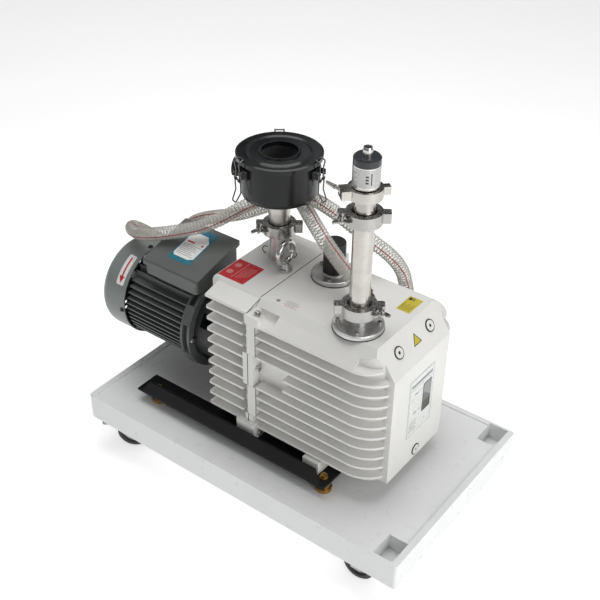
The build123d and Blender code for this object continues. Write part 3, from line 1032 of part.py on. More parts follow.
with BuildPart(mode=Mode.PRIVATE) as arm:
    with Locations((CAM_X, CAM_Y, 0)):
        Cylinder(5.6, 10)
    with Locations(Location((CAM_X, CAM_Y, 0), (0, 0, ARM_TURN)) * Location((0, 0, 0), (0, 90, 0))):
        Cone(4, 3, 20, align=UPWARDS)
        with Locations((0, 0, 18)):
            Cone(4.6, 3.2, 22, align=UPWARDS)
            with Locations((0, 0, 22)):
                Sphere(3.2)
    with Locations((CAM_X, CAM_Y, 0)):
        Cylinder(2.5 + RUNNING, 12, mode=Mode.SUBTRACT)

with BuildPart() as clamp_lever:
    with Locations(LEVER_SPOT):
        add(arm.part)
save(clamp_lever, "clamp_lever")

# ---------------------------------------------------------------- exhaust port
ELBOW_R = 14.0
ELBOW_FLANGE_R = 19.0
ELBOW_Z = DECK_Z + 18.0
ELBOW_OUT = 40.0
ELBOW_DIR = Vector(-0.79, 0, 0.61).normalized()
ELBOW_START = Vector(EXHAUST_X, EXHAUST_Y, ELBOW_Z)
ELBOW_END = ELBOW_START + ELBOW_DIR * ELBOW_OUT
SLEEVE = 26.0                         # length of hose pushed over the pipe
elbow_plane = Plane(origin=ELBOW_START, z_dir=ELBOW_DIR)

with BuildPart() as exhaust_port:
    rod_z(DECK_Z, DECK_Z + 7, EXHAUST_X, EXHAUST_Y, ELBOW_FLANGE_R)
    rod_z(DECK_Z, ELBOW_Z, EXHAUST_X, EXHAUST_Y, ELBOW_R)
    with Locations(tuple(ELBOW_START)):
        Sphere(ELBOW_R)
    with Locations(elbow_plane.location):
        Cylinder(ELBOW_R, ELBOW_OUT - 0.5, align=UPWARDS)
        Cylinder(ELBOW_R - 3, ELBOW_OUT, align=UPWARDS, mode=Mode.SUBTRACT)
    with Locations(tuple(ELBOW_START)):
        Sphere(ELBOW_R - 3, mode=Mode.SUBTRACT)
    rod_z(DECK_Z, ELBOW_Z, EXHAUST_X, EXHAUST_Y, ELBOW_R - 3, mode=Mode.SUBTRACT)
    with Locations(elbow_plane.offset(6).location):
        Cylinder(HOSE_D / 2 + 1.5, ELBOW_OUT - 6, align=UPWARDS)
        Cylinder(ELBOW_R - 1, ELBOW_OUT - 6, align=UPWARDS, mode=Mode.SUBTRACT)
    with Locations(elbow_plane.offset(14).location):
        Cylinder(HOSE_D / 2 + 3, 12, align=UPWARDS)
        Cylinder(HOSE_D / 2 + 1, 12, align=UPWARDS, mode=Mode.SUBTRACT)
        with Locations((0, HOSE_D / 2 + 5, 6)):
            Box(14, 8, 10)
save(exhaust_port, "exhaust_port")

# ---------------------------------------------------------------- hoses
NOZZLE_LEN = 52.0
FRONT_ROUTE = [tuple(ELBOW_END), tuple(ELBOW_END + ELBOW_DIR * 74), (56, 22, 640), (-49, 98, 648),
               (-160, 88, 590), (-236, 16, 543), (-310, -14, 511), (-384, 2, 482), (-430, 54, 446), (-452, 118, 388),
               (-455, 172, 316), (-434, 206, 246), (-380, 222, 194), (-302, 214, 179)]
REAR_ROUTE = [(205, 208, 200), (204, 206, 262), (200, 194, 342), (183, 197, 437), (186, 154, 532), (126, 101, 602),
              (28, 100, 640), (-73, 138, 618), (-148, 126, 562), (-217, 76, 538), (-290, 48, 532), (-362, 72, 501),
              (-400, 124, 440), (-412, 166, 364), (-414, 184, 290), (-392, 178, 229), (-356, 152, 193),
              (-312, 118, 180), (-280, 88, 177)]


def bend_radii(route):
    """Largest arc at each corner that leaves a tenth of each run straight."""
    radii = []
    for before, corner, after in zip(route, route[1:], route[2:]):
        run_in, run_out = Vector(corner) - Vector(before), Vector(after) - Vector(corner)
        turn = radians(run_in.get_angle(run_out))
        radii.append(0.45 * min(run_in.length, run_out.length) / tan(turn / 2))
    return radii


def hose(route):
    """Solid hose along a route of straight runs joined by tangent arcs."""
    radii = bend_radii(route)
    with BuildPart() as tube:
        with BuildLine() as path:
            FilletPolyline(*route, radius=radii)
        with BuildSketch(Plane(origin=path.line @ 0, z_dir=path.line % 0)):
            Circle(HOSE_D / 2)
        sweep()
    length = sum(edge.length for edge in path.edges())
    expected = pi * (HOSE_D / 2) ** 2 * length
    print("hose length", round(length), "radii", [round(r) for r in radii],
          "volume ratio", round(tube.part.volume / expected, 4))
    return tube


def nozzle(route_end, route_before):
    """Small-flange nozzle beyond the end of a hose, with the cuff over the hose."""
    way = (Vector(route_end) - Vector(route_before)).normalized()
    with Locations(Plane(origin=route_end, z_dir=way).location):
        Cylinder(HOSE_D / 2 + 1.5, 24, align=UPWARDS)
        Cylinder(HOSE_D / 2 - 2, NOZZLE_LEN, align=UPWARDS)
        with Locations((0, 0, NOZZLE_LEN - KF_FLANGE_T)):
            Cylinder(20, KF_FLANGE_T, align=UPWARDS)
        with Locations((0, 0, 4)):
            Cylinder(HOSE_D / 2 - 5, NOZZLE_LEN, align=UPWARDS, mode=Mode.SUBTRACT)


save(hose(FRONT_ROUTE), "hose_front")
save(hose(REAR_ROUTE), "hose_rear")
with BuildPart() as hose_ends:
    nozzle(FRONT_ROUTE[-1], FRONT_ROUTE[-2])
    nozzle(REAR_ROUTE[0], REAR_ROUTE[1])
    nozzle(REAR_ROUTE[-1], REAR_ROUTE[-2])
save(hose_ends, "hose_ends")
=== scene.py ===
import json
import math

import bpy
from mathutils import Matrix, Vector


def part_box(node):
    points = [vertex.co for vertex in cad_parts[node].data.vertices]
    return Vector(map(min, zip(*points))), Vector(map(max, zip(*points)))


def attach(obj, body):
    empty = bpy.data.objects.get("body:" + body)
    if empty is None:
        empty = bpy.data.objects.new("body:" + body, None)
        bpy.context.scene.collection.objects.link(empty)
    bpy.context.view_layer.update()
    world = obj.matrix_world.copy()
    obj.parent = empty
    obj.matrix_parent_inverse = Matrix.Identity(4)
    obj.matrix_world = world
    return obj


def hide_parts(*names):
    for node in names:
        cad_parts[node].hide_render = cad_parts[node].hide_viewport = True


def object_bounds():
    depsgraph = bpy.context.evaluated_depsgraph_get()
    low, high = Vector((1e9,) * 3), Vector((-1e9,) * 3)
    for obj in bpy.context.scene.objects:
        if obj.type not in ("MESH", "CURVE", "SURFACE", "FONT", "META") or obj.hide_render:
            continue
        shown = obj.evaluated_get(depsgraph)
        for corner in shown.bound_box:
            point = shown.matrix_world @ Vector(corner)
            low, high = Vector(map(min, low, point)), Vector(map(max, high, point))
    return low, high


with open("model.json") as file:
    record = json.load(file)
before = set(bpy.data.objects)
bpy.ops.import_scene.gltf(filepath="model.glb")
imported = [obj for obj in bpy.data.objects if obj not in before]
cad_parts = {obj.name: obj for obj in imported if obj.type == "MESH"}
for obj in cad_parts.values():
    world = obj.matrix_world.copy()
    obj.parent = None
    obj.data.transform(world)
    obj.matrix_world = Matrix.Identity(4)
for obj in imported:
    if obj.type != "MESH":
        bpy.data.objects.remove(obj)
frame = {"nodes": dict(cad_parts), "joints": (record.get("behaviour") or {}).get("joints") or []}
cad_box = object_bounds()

MM = 0.001                    # lengths below are in mm, and meshes are in metres
ROOT = "pump_unit"
MOTOR_AXIS_Z = 318.0
DECK_Z = 516.0                # the pump's flat top
nodes = frame["nodes"]

# ---------------------------------------------------------------- camera
CAMERA_AT = (1.10638, -1.44498, 1.71004)
YAW, PITCH, ROLL = 0.6360, -0.6060, 0.0162
SENSOR_MM, LENS_MM = 36, 62.73
SHIFT_Y = -2 / 600
CLIP_END_M = 50


def add_camera():
    look = Vector((-math.sin(YAW) * math.cos(PITCH), math.cos(YAW) * math.cos(PITCH), math.sin(PITCH)))
    level = Vector((math.cos(YAW), math.sin(YAW), 0))
    upright = level.cross(look)
    right = level * math.cos(ROLL) + upright * math.sin(ROLL)
    up = upright * math.cos(ROLL) - level * math.sin(ROLL)
    data = bpy.data.cameras.new("camera")
    data.sensor_width = SENSOR_MM
    data.lens = LENS_MM
    data.shift_y = SHIFT_Y
    data.clip_end = CLIP_END_M
    camera = bpy.data.objects.new("camera", data)
    bpy.context.scene.collection.objects.link(camera)
    camera.rotation_mode = "QUATERNION"
    camera.location = CAMERA_AT
    camera.rotation_quaternion = Matrix((right, up, -look)).transposed().to_quaternion()
    bpy.context.scene.camera = camera


add_camera()


# ---------------------------------------------------------------- mesh helpers
def piece(name, verts, faces, material=None, body=ROOT, smooth=False):
    """A mesh object that rides on a body."""
    mesh = bpy.data.meshes.new(name)
    mesh.from_pydata([tuple(v) for v in verts], [], faces)
    mesh.update()
    if smooth:
        mesh.polygons.foreach_set("use_smooth", [True] * len(mesh.polygons))
    if material:
        mesh.materials.append(material)
    obj = bpy.data.objects.new(name, mesh)
    bpy.context.scene.collection.objects.link(obj)
    if body:
        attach(obj, body)
    return obj


class Shape:
    """Collects several closed forms into one mesh."""

    def __init__(self):
        self.verts, self.faces = [], []

    def add(self, verts, faces):
        start = len(self.verts)
        self.verts += [Vector(v) for v in verts]
        self.faces += [[start + i for i in f] for f in faces]
        return self

    def prism(self, outline, place, low, high, inset=0.0):
        """An outline raised from low to high, its top edge drawn in by inset; place(a, b, h) gives a point."""
        n = len(outline)
        ca = sum(a for a, b in outline) / n
        cb = sum(b for a, b in outline) / n
        rings = [(low, 0.0), (high - inset, 0.0), (high, inset)]
        verts = []
        for h, cut in rings:
            for a, b in outline:
                d = math.hypot(a - ca, b - cb) or 1
                k = 1 - cut / d
                verts.append(place(ca + (a - ca) * k, cb + (b - cb) * k, h))
        faces = []
        for r in (0, 1):
            for i in range(n):
                j = (i + 1) % n
                faces.append([r * n + i, r * n + j, (r + 1) * n + j, (r + 1) * n + i])
        faces.append([2 * n + i for i in range(n)])
        faces.append([i for i in reversed(range(n))])
        return self.add(verts, faces)

    def strip(self, rows, place, low, high):
        """A band given as rows (b, a0, a1), raised from low to high on a curved face."""
        verts, faces = [], []
        for b, a0, a1 in rows:
            am = (a0 + a1) / 2
            verts += [place(a, b, h) for a, h in ((a0, low), (a0, high), (am, high), (a1, high), (a1, low))]
        for r in range(len(rows) - 1):
            for k in range(4):
                i = r * 5 + k
                faces.append([i, i + 1, i + 6, i + 5])
        last = (len(rows) - 1) * 5
        faces.append([4, 3, 2, 1, 0])
        faces.append([last + k for k in range(5)])
        return self.add(verts, faces)

    def turned(self, profile, centre, axis, seg=40):
        """A profile of (radius, height) turned about an axis."""
        axis = Vector(axis).normalized()
        side = axis.orthogonal().normalized()
        other = axis.cross(side)
        verts, faces = [], []
        for r, h in profile:
            for i in range(seg):
                t = 2 * math.pi * i / seg
                verts.append(Vector(centre) + axis * h + (side * math.cos(t) + other * math.sin(t)) * r)
        for k in range(len(profile) - 1):
            for i in range(seg):
                j = (i + 1) % seg
                faces.append([k * seg + i, k * seg + j, (k + 1) * seg + j, (k + 1) * seg + i])
        faces.append([(len(profile) - 1) * seg + i for i in range(seg)])
        faces.append([i for i in reversed(range(seg))])
        return self.add(verts, faces)

    def sweep(self, points, radius, sides=8, closed=False):
        """A round wire along points; radius may be a function of the place along it."""
        frames = carried_frames(points)
        verts, faces = [], []
        for k, (p, (side, other)) in enumerate(zip(points, frames)):
            for i in range(sides):
                t = 2 * math.pi * i / sides
                r = radius(k, t) if callable(radius) else radius
                verts.append(p + (side * math.cos(t) + other * math.sin(t)) * r)
        count = len(points)
        for k in range(count - 1):
            for i in range(sides):
                j = (i + 1) % sides
                faces.append([k * sides + i, k * sides + j, (k + 1) * sides + j, (k + 1) * sides + i])
        if not closed:
            faces.append([i for i in reversed(range(sides))])
            faces.append([(count - 1) * sides + i for i in range(sides)])
        return self.add(verts, faces)

    def done(self, name, material, body=ROOT, smooth=False, slot=None):
        return piece(name, [v * MM for v in self.verts], self.faces, material, body, smooth)


def carried_frames(points):
    """Two cross directions at each point, carried along without twist."""
    frames = []
    side = None
    for k, p in enumerate(points):
        ahead = points[min(k + 1, len(points) - 1)] - points[max(k - 1, 0)]
        ahead.normalize()
        if side is None:
            side = ahead.orthogonal().normalized()
        side = (side - ahead * side.dot(ahead)).normalized()
        frames.append((side, ahead.cross(side)))
    return frames


def smooth_by_angle(obj, degrees=35):
    obj.data.polygons.foreach_set("use_smooth", [True] * len(obj.data.polygons))
    obj.data.set_sharp_from_angle(angle=math.radians(degrees))


def plane_place(origin, u, v):
    origin, u, v = Vector(origin), Vector(u).normalized(), Vector(v).normalized()
    n = u.cross(v)
    return lambda a, b, h: origin + u * a + v * b + n * h


def box_outline(a0, b0, a1, b1, r=0.0, steps=5):
    """A rectangle with rounded corners, anticlockwise."""
    if r <= 0:
        return [(a0, b0), (a1, b0), (a1, b1), (a0, b1)]
    out = []
    corners = ((a1 - r, b0 + r, -90), (a1 - r, b1 - r, 0), (a0 + r, b1 - r, 90), (a0 + r, b0 + r, 180))
    for ca, cb, start in corners:
        for i in range(steps + 1):
            t = math.radians(start + 90 * i / steps)
            out.append((ca + r * math.cos(t), cb + r * math.sin(t)))
    return out


def ring_outline(ca, cb, r, steps=28):
    turns = [2 * math.pi * i / steps for i in range(steps)]
    return [(ca + r * math.cos(t), cb + r * math.sin(t)) for t in turns]


# ---------------------------------------------------------------- hoses: their centre lines
HOSE_R = 16.0
ELBOW_DIR = Vector((-0.79, 0, 0.61)).normalized()
ELBOW_END = Vector((207, 2, 534)) + ELBOW_DIR * 40
FRONT_ROUTE = [tuple(ELBOW_END), tuple(ELBOW_END + ELBOW_DIR * 74), (56, 22, 640), (-49, 98, 648),
               (-158, 90, 588), (-230, 28, 529), (-300, -18, 507), (-362, -32, 484), (-420, -20, 464), (-464, 10, 450),
               (-485, 56, 416), (-476, 110, 364), (-458, 166, 306), (-432, 210, 250), (-380, 224, 200), (-302, 214, 179)]
REAR_ROUTE = [(205, 208, 200), (204, 206, 262), (200, 194, 342), (183, 197, 437), (186, 154, 532), (126, 101, 602),
              (28, 100, 640), (-73, 138, 618), (-148, 132, 562), (-214, 108, 526), (-284, 94, 502), (-346, 104, 464),
              (-392, 130, 418), (-414, 160, 358), (-410, 180, 292), (-388, 175, 234), (-354, 154, 196),
              (-312, 118, 180), (-280, 88, 177)]


def centre_line(name, route, step=1.6):
    """Even points along the route's own spline, in mm."""
    curve = bpy.data.curves.new(name, "CURVE")
    curve.dimensions = "3D"
    curve.resolution_u = 40
    spline = curve.splines.new("NURBS")
    spline.points.add(len(route) - 1)
    for point, at in zip(spline.points, route):
        point.co = (at[0] * MM, at[1] * MM, at[2] * MM, 1)
    spline.order_u = 3
    spline.use_endpoint_u = True
    holder = bpy.data.objects.new(name, curve)
    bpy.context.scene.collection.objects.link(holder)
    bpy.context.view_layer.update()
    mesh = bpy.data.meshes.new_from_object(holder)
    raw = [v.co.copy() / MM for v in mesh.vertices]
    bpy.data.objects.remove(holder)
    far = [0.0]
    for a, b in zip(raw, raw[1:]):
        far.append(far[-1] + (b - a).length)
    count = round(far[-1] / step)
    out, k = [], 0
    for i in range(count + 1):
        d = far[-1] * i / count
        while k < len(far) - 2 and far[k + 1] < d:
            k += 1
        span = far[k + 1] - far[k] or 1
        out.append(raw[k].lerp(raw[k + 1], (d - far[k]) / span))
    return out, far[-1]


# ---------------------------------------------------------------- materials
class Look:
    """A Principled material and short ways to feed it."""

    def __init__(self, name, color, rough=0.4, metal=0.0):
        self.mat = bpy.data.materials.new(name)
        self.mat.use_nodes = True
        self.tree = self.mat.node_tree
        self.shader = self.tree.nodes["Principled BSDF"]
        self.color = tuple(color) + (1.0,)
        self.shader.inputs["Base Color"].default_value = self.color
        self.shader.inputs["Roughness"].default_value = rough
        self.shader.inputs["Metallic"].default_value = metal
        self.mat.diffuse_color = self.color
        self.rough = rough
        self.place = self.node("ShaderNodeTexCoord").outputs["Object"]
        self.color_out = None

    def node(self, kind, **settings):
        made = self.tree.nodes.new(kind)
        for key, value in settings.items():
            if key.startswith("in_"):
                made.inputs[key[3:]].default_value = value
            else:
                setattr(made, key, value)
        return made

    def link(self, a, b):
        self.tree.links.new(a, b)

    def stretched(self, scale):
        mapping = self.node("ShaderNodeMapping")
        mapping.inputs["Scale"].default_value = scale
        self.link(self.place, mapping.inputs["Vector"])
        return mapping.outputs["Vector"]

    def noise(self, scale, detail=3.0, stretch=None, rough=0.55):
        made = self.node("ShaderNodeTexNoise", in_Scale=scale, in_Detail=detail, in_Roughness=rough)
        self.link(self.stretched(stretch) if stretch else self.place, made.inputs["Vector"])
        return made.outputs["Fac"]

    def ranged(self, value, low, high, out_low, out_high):
        made = self.node("ShaderNodeMapRange")
        for key, number in (("From Min", low), ("From Max", high), ("To Min", out_low), ("To Max", out_high)):
            made.inputs[key].default_value = number
        self.link(value, made.inputs["Value"])
        return made.outputs["Result"]

    def math(self, kind, a, b=None):
        made = self.node("ShaderNodeMath", operation=kind)
        for k, value in enumerate((a, b)):
            if value is None:
                continue
            if isinstance(value, (int, float)):
                made.inputs[k].default_value = value
            else:
                self.link(value, made.inputs[k])
        return made.outputs[0]

    def mix(self, mask, other):
        """Lays another colour over the colour so far, by a mask."""
        made = self.node("ShaderNodeMix", data_type="RGBA")
        a, b = made.inputs[6], made.inputs[7]
        if self.color_out:
            self.link(self.color_out, a)
        else:
            a.default_value = self.color
        if isinstance(other, tuple):
            b.default_value = other + (1.0,)
        else:
            self.link(other, b)
        self.link(mask, made.inputs[0])
        self.color_out = made.outputs[2]
        return self

    def shift(self, source, amount, low=0.35, high=0.65):
        """Lighter and darker patches."""
        made = self.node("ShaderNodeMix", data_type="RGBA")
        dark = tuple(c * (1 - amount) for c in self.color[:3]) + (1.0,)
        light = tuple(min(1, c * (1 + amount)) for c in self.color[:3]) + (1.0,)
        made.inputs[6].default_value, made.inputs[7].default_value = dark, light
        self.link(self.ranged(source, low, high, 0, 1), made.inputs[0])
        self.color_out = made.outputs[2]
        return self

    def roughen(self, source, spread, low=0.3, high=0.7):
        rough = self.ranged(source, low, high, self.rough - spread, self.rough + spread)
        self.link(rough, self.shader.inputs["Roughness"])
        return self

    def relief(self, heights, soft=0.0):
        """Bumps, given as (source, depth in mm), over edges rounded by soft mm."""
        normal = None
        if soft:
            normal = self.node("ShaderNodeBevel", samples=4, in_Radius=soft * MM).outputs["Normal"]
            self.round_normal = normal
        for source, depth in heights:
            bump = self.node("ShaderNodeBump", in_Strength=1.0, in_Distance=depth * MM)
            self.link(source, bump.inputs["Height"])
            if normal:
                self.link(normal, bump.inputs["Normal"])
            normal = bump.outputs["Normal"]
        self.link(normal, self.shader.inputs["Normal"])
        return self

    def worn(self, other, amount=0.6):
        """Colour that shows through along the edges."""
        dot = self.node("ShaderNodeVectorMath", operation="DOT_PRODUCT")
        self.link(self.round_normal, dot.inputs[0])
        self.link(self.node("ShaderNodeNewGeometry").outputs["Normal"], dot.inputs[1])
        edge = self.ranged(dot.outputs["Value"], 0.995, 0.86, 0, 1)
        patchy = self.ranged(self.noise(260, 4), 0.44, 0.6, 0, amount)
        return self.mix(self.math("MULTIPLY", edge, patchy), other)

    def band(self, axis, low, high, edge=0.1):
        """1 between two heights in mm along an axis."""
        split = self.node("ShaderNodeSeparateXYZ")
        self.link(self.place, split.inputs[0])
        value = split.outputs["XYZ".index(axis)]
        rise = self.ranged(value, (low - edge) * MM, (low + edge) * MM, 0, 1)
        fall = self.ranged(value, (high - edge) * MM, (high + edge) * MM, 1, 0)
        return self.math("MULTIPLY", rise, fall)

    def within(self, centre, axis, radius, edge=0.3):
        """1 inside a radius in mm about an axis through centre."""
        offset = self.node("ShaderNodeVectorMath", operation="SUBTRACT")
        self.link(self.place, offset.inputs[0])
        offset.inputs[1].default_value = Vector(centre) * MM
        crossed = self.node("ShaderNodeVectorMath", operation="CROSS_PRODUCT")
        self.link(offset.outputs[0], crossed.inputs[0])
        crossed.inputs[1].default_value = Vector(axis).normalized()
        size = self.node("ShaderNodeVectorMath", operation="LENGTH")
        self.link(crossed.outputs[0], size.inputs[0])
        return self.ranged(size.outputs["Value"], (radius - edge) * MM, (radius + edge) * MM, 1, 0)

    def set(self, **sockets):
        for key, value in sockets.items():
            self.shader.inputs[key.replace("_", " ")].default_value = value
        return self

    def done(self):
        if self.color_out:
            self.link(self.color_out, self.shader.inputs["Base Color"])
        return self.mat


def paint(name, color, rough, soft, grain, under, wear, patch, coat=0.0):
    """Sprayed paint on a casting: orange peel, faint patches, edges worn a little."""
    look = Look(name, color, rough)
    look.shift(look.noise(9, 5), patch)
    look.roughen(look.noise(40, 5), 0.07)
    look.relief([(look.noise(420, 3), grain), (look.noise(60, 2), grain * 1.6)], soft)
    look.worn(under, wear)
    if coat:
        look.set(Coat_Weight=coat, Coat_Roughness=0.12)
    return look.done()


def metal(name, color, rough=0.25, stretch=(1, 1, 40), depth=0.01, soft=0.35, patch=0.07, grime=0.0):
    """Turned or brushed metal: fine marks along one direction."""
    look = Look(name, color, rough, 1.0)
    marks = look.noise(60, 4, stretch)
    look.shift(look.noise(35, 4), patch)
    look.roughen(marks, 0.10)
    if grime:
        look.mix(look.ranged(look.noise(120, 6), 0.55, 0.8, 0, grime), (0.16, 0.14, 0.12))
    look.relief([(marks, depth), (look.noise(900, 2), depth * 0.5)], soft)
    return look.done()


def moulded(name, color, rough=0.5, soft=0.5, grain=0.03, patch=0.12):
    look = Look(name, color, rough)
    look.shift(look.noise(45, 5), patch)
    look.roughen(look.noise(90, 4), 0.08)
    look.relief([(look.noise(1400, 2), grain)], soft)
    return look.done()


def printed(name, color, rough=0.32, metal_part=0.0):
    """Printed film: a faint mottle and a soft sheen."""
    look = Look(name, color, rough, metal_part)
    look.shift(look.noise(160, 4), 0.05)
    look.roughen(look.noise(220, 3), 0.06)
    look.relief([(look.noise(700, 2), 0.012)])
    return look.done()


pump_paint = paint("pump_paint", (0.75, 0.745, 0.72), 0.36, 1.3, 0.045, (0.50, 0.49, 0.46), 0.25, 0.03)
white_paint = paint("white_paint", (0.80, 0.81, 0.805), 0.32, 0.9, 0.02, (0.55, 0.55, 0.53), 0.06, 0.012, 0.1)
rail_paint = paint("rail_paint", (0.007, 0.007, 0.008), 0.34, 0.7, 0.05, (0.16, 0.15, 0.14), 0.5, 0.2)
motor_paint = paint("motor_paint", (0.105, 0.115, 0.108), 0.36, 1.0, 0.09, (0.26, 0.25, 0.23), 0.35, 0.10)
cowl_paint = paint("cowl_paint", (0.205, 0.225, 0.215), 0.34, 0.9, 0.03, (0.36, 0.35, 0.33), 0.3, 0.05, 0.1)
black_cast = paint("black_cast", (0.014, 0.014, 0.015), 0.45, 0.8, 0.10, (0.12, 0.11, 0.10), 0.4, 0.2)
filter_paint = paint("filter_paint", (0.007, 0.008, 0.009), 0.27, 0.7, 0.012, (0.16, 0.15, 0.14), 0.3, 0.12, 0.3)
cast_iron = paint("cast_iron", (0.20, 0.19, 0.18), 0.55, 0.8, 0.14, (0.40, 0.38, 0.36), 0.5, 0.15)
stainless = metal("stainless", (0.53, 0.51, 0.48), 0.20, (1, 1, 45))
flange_metal = metal("flange_metal", (0.66, 0.66, 0.65), 0.40, (1, 1, 30), 0.004)
clamp_metal = metal("clamp_metal", (0.44, 0.435, 0.42), 0.27, (3, 3, 9), 0.02, 0.7, 0.05, 0.08)
zinc_steel = metal("zinc_steel", (0.56, 0.55, 0.52), 0.30, (1, 1, 12), 0.01, 0.4, 0.12, 0.4)
chrome_steel = metal("chrome_steel", (0.60, 0.60, 0.59), 0.17, (2, 2, 6), 0.02, 0.8, 0.10, 0.35)
caster_steel = metal("caster_steel", (0.50, 0.50, 0.49), 0.30, (2, 2, 10), 0.02, 0.5, 0.10, 0.5)
machined_steel = metal("machined_steel", (0.55, 0.54, 0.52), 0.24, (40, 1, 1), 0.01, 0.4, 0.08, 0.2)
latch_wire = metal("latch_wire", (0.13, 0.125, 0.12), 0.30, (2, 2, 10), 0.02, 0.3, 0.15, 0.4)
brass = metal("brass", (0.50, 0.31, 0.10), 0.30, (1, 1, 14), 0.02, 0.5, 0.15, 0.5)
black_plastic = moulded("black_plastic", (0.02, 0.02, 0.021), 0.42)
knob_plastic = moulded("knob_plastic", (0.012, 0.012, 0.013), 0.40, 0.6)
seal_rubber = moulded("seal_rubber", (0.012, 0.012, 0.012), 0.55, 0.3, 0.02)
vane_composite = moulded("vane_composite", (0.10, 0.06, 0.035), 0.5, 0.3, 0.05, 0.2)
plate_metal = printed("plate_film", (0.72, 0.735, 0.72), 0.30)

lamination = Look("lamination", (0.20, 0.19, 0.175), 0.45, 0.8)
lamination.shift(lamination.noise(80, 3), 0.12)
sheets = lamination.noise(60, 2, (40, 1, 1))
lamination.relief([(sheets, 0.12)], 0.3).roughen(sheets, 0.1)
lamination = lamination.done()

felt = Look("filter_felt", (0.05, 0.048, 0.045), 0.9)
felt.shift(felt.noise(260, 5), 0.14).relief([(felt.noise(900, 5), 0.35)])
felt.set(Sheen_Weight=0.3)
felt = felt.done()

gauge = Look("gauge_steel", (0.68, 0.67, 0.65), 0.22, 1.0)
gauge.shift(gauge.noise(35, 3), 0.05)
cap = gauge.band("Z", 868.2, 884.2)
gauge.mix(cap, (0.03, 0.034, 0.038))
gauge.link(gauge.ranged(cap, 0, 1, 1, 0), gauge.shader.inputs["Metallic"])
gauge.roughen(gauge.noise(60, 4, (1, 1, 40)), 0.08)
gauge.relief([(gauge.noise(60, 4, (1, 1, 40)), 0.01)], 0.5)
gauge = gauge.done()

window = Look("sight_glass", (0.035, 0.035, 0.034), 0.07)
window.shift(window.noise(30, 3), 0.25)
window.mix(window.band("Z", 250, 336, 0.6), (0.075, 0.07, 0.052))
window.mix(window.band("Z", 335.2, 336.8, 0.3), (0.16, 0.15, 0.12))
window.relief([(window.noise(25, 2), 0.05)], 0.4).set(Coat_Weight=1.0, Coat_Roughness=0.03)
window = window.done()

LOOKS = {
    "platform": white_paint, "base_rails": rail_paint, "rail_feet": brass, "rail_bolts": brass,
    "caster_mounts": caster_steel, "caster_fork_1": caster_steel, "caster_fork_2": caster_steel,
    "brake_pedal_1": caster_steel, "brake_pedal_2": caster_steel, "pump_housing": pump_paint,
    "oil_casing": pump_paint, "seal_rings": seal_rubber, "socket_screws": zinc_steel, "oil_plugs": pump_paint,
    "sight_glass": window, "nameplate": plate_metal, "pump_stator": cast_iron, "pump_rotor": machined_steel,
    "pump_vanes": vane_composite, "ballast_flange": flange_metal, "ballast_knob": knob_plastic,
    "deck_ports": flange_metal, "eye_bolt": chrome_steel, "exhaust_port": stainless, "motor_frame": motor_paint,
    "motor_flange": motor_paint, "coupling_housing": black_cast, "fan_cowl": cowl_paint,
    "motor_fan": black_plastic, "motor_rotor": machined_steel, "motor_stator": lamination,
    "shaft_bearings": machined_steel, "terminal_box": motor_paint, "terminal_lid": motor_paint,
    "shaft_coupling": machined_steel, "filter_lid": filter_paint,
    "filter_element": felt, "gauge_tube": stainless, "gauge_adapter": stainless, "gauge_body": gauge,
    "kf_clamps": clamp_metal, "lever_clamp": stainless, "clamp_lever": stainless, "hose_ends": stainless,
}
for i in (1, 2, 3):
    LOOKS[f"latch_lever_{i}"] = LOOKS[f"latch_bail_{i}"] = latch_wire
    LOOKS[f"wing_nut_{i}"] = clamp_metal

# filter can: black above a bare steel neck
can = Look("filter_can", (0.007, 0.008, 0.009), 0.30)
can.shift(can.noise(9, 5), 0.2)
neck = can.band("Z", 560, 655, 0.4)
can.mix(neck, (0.53, 0.51, 0.48))
can.link(neck, can.shader.inputs["Metallic"])
can.roughen(can.noise(40, 4), 0.04)
can.relief([(can.noise(420, 3), 0.02)], 0.7).set(Coat_Weight=0.25, Coat_Roughness=0.12)
LOOKS["filter_can"] = can.done()

# caster wheels: grey tread on a pale hub
for i in (1, 2, 3, 4):
    low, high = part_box(f"caster_wheel_{i}")
    middle = (low + high) / 2 / MM
    spin = next(j for j in frame["joints"] if j["child"] == f"caster_wheel_{i}")
    wheel = Look(f"wheel_{i}", (0.045, 0.044, 0.043), 0.6)
    wheel.shift(wheel.noise(70, 4), 0.2)
    wheel.mix(wheel.within(middle, spin["axis"], 24.0), (0.30, 0.30, 0.29))
    wheel.relief([(wheel.noise(1100, 3), 0.05)], 0.8).roughen(wheel.noise(120, 4), 0.1)
    LOOKS[f"caster_wheel_{i}"] = wheel.done()

for dark in (rail_paint, filter_paint, LOOKS["filter_can"]):
    dark.node_tree.nodes["Principled BSDF"].inputs["Specular IOR Level"].default_value = 0.22

for name, material in LOOKS.items():
    mesh = nodes[name].data
    if not mesh.materials:
        mesh.materials.append(material)
    for k in range(len(mesh.materials)):
        nodes[name].material_slots[k].link = "OBJECT"
        nodes[name].material_slots[k].material = material

# ---------------------------------------------------------------- hoses
pvc = Look("hose_clear", (0.92, 0.90, 0.84), 0.16)
pvc.shift(pvc.noise(40, 4), 0.05)
pvc.relief([(pvc.noise(300, 3), 0.06)])
pvc.set(Alpha=0.36, Coat_Weight=0.6, Coat_Roughness=0.08, IOR=1.52)
pvc = pvc.done()
helix_steel = metal("hose_helix", (0.30, 0.27, 0.21), 0.35, (2, 2, 2), 0.01, 0, 0.1, 0)
stripe_red = printed("hose_stripe", (0.36, 0.035, 0.04), 0.3)
stripe_green = printed("hose_fine_line", (0.10, 0.17, 0.15), 0.3)
PITCH_MM = 8.0                # of the wire helix
WIRE_R = 1.15
WIRE_DEPTH = 1.9              # of its centre below the hose's surface
TURN_STEPS = 14               # points in one turn of the wire
RIB = 0.45                    # height of the wall's waves
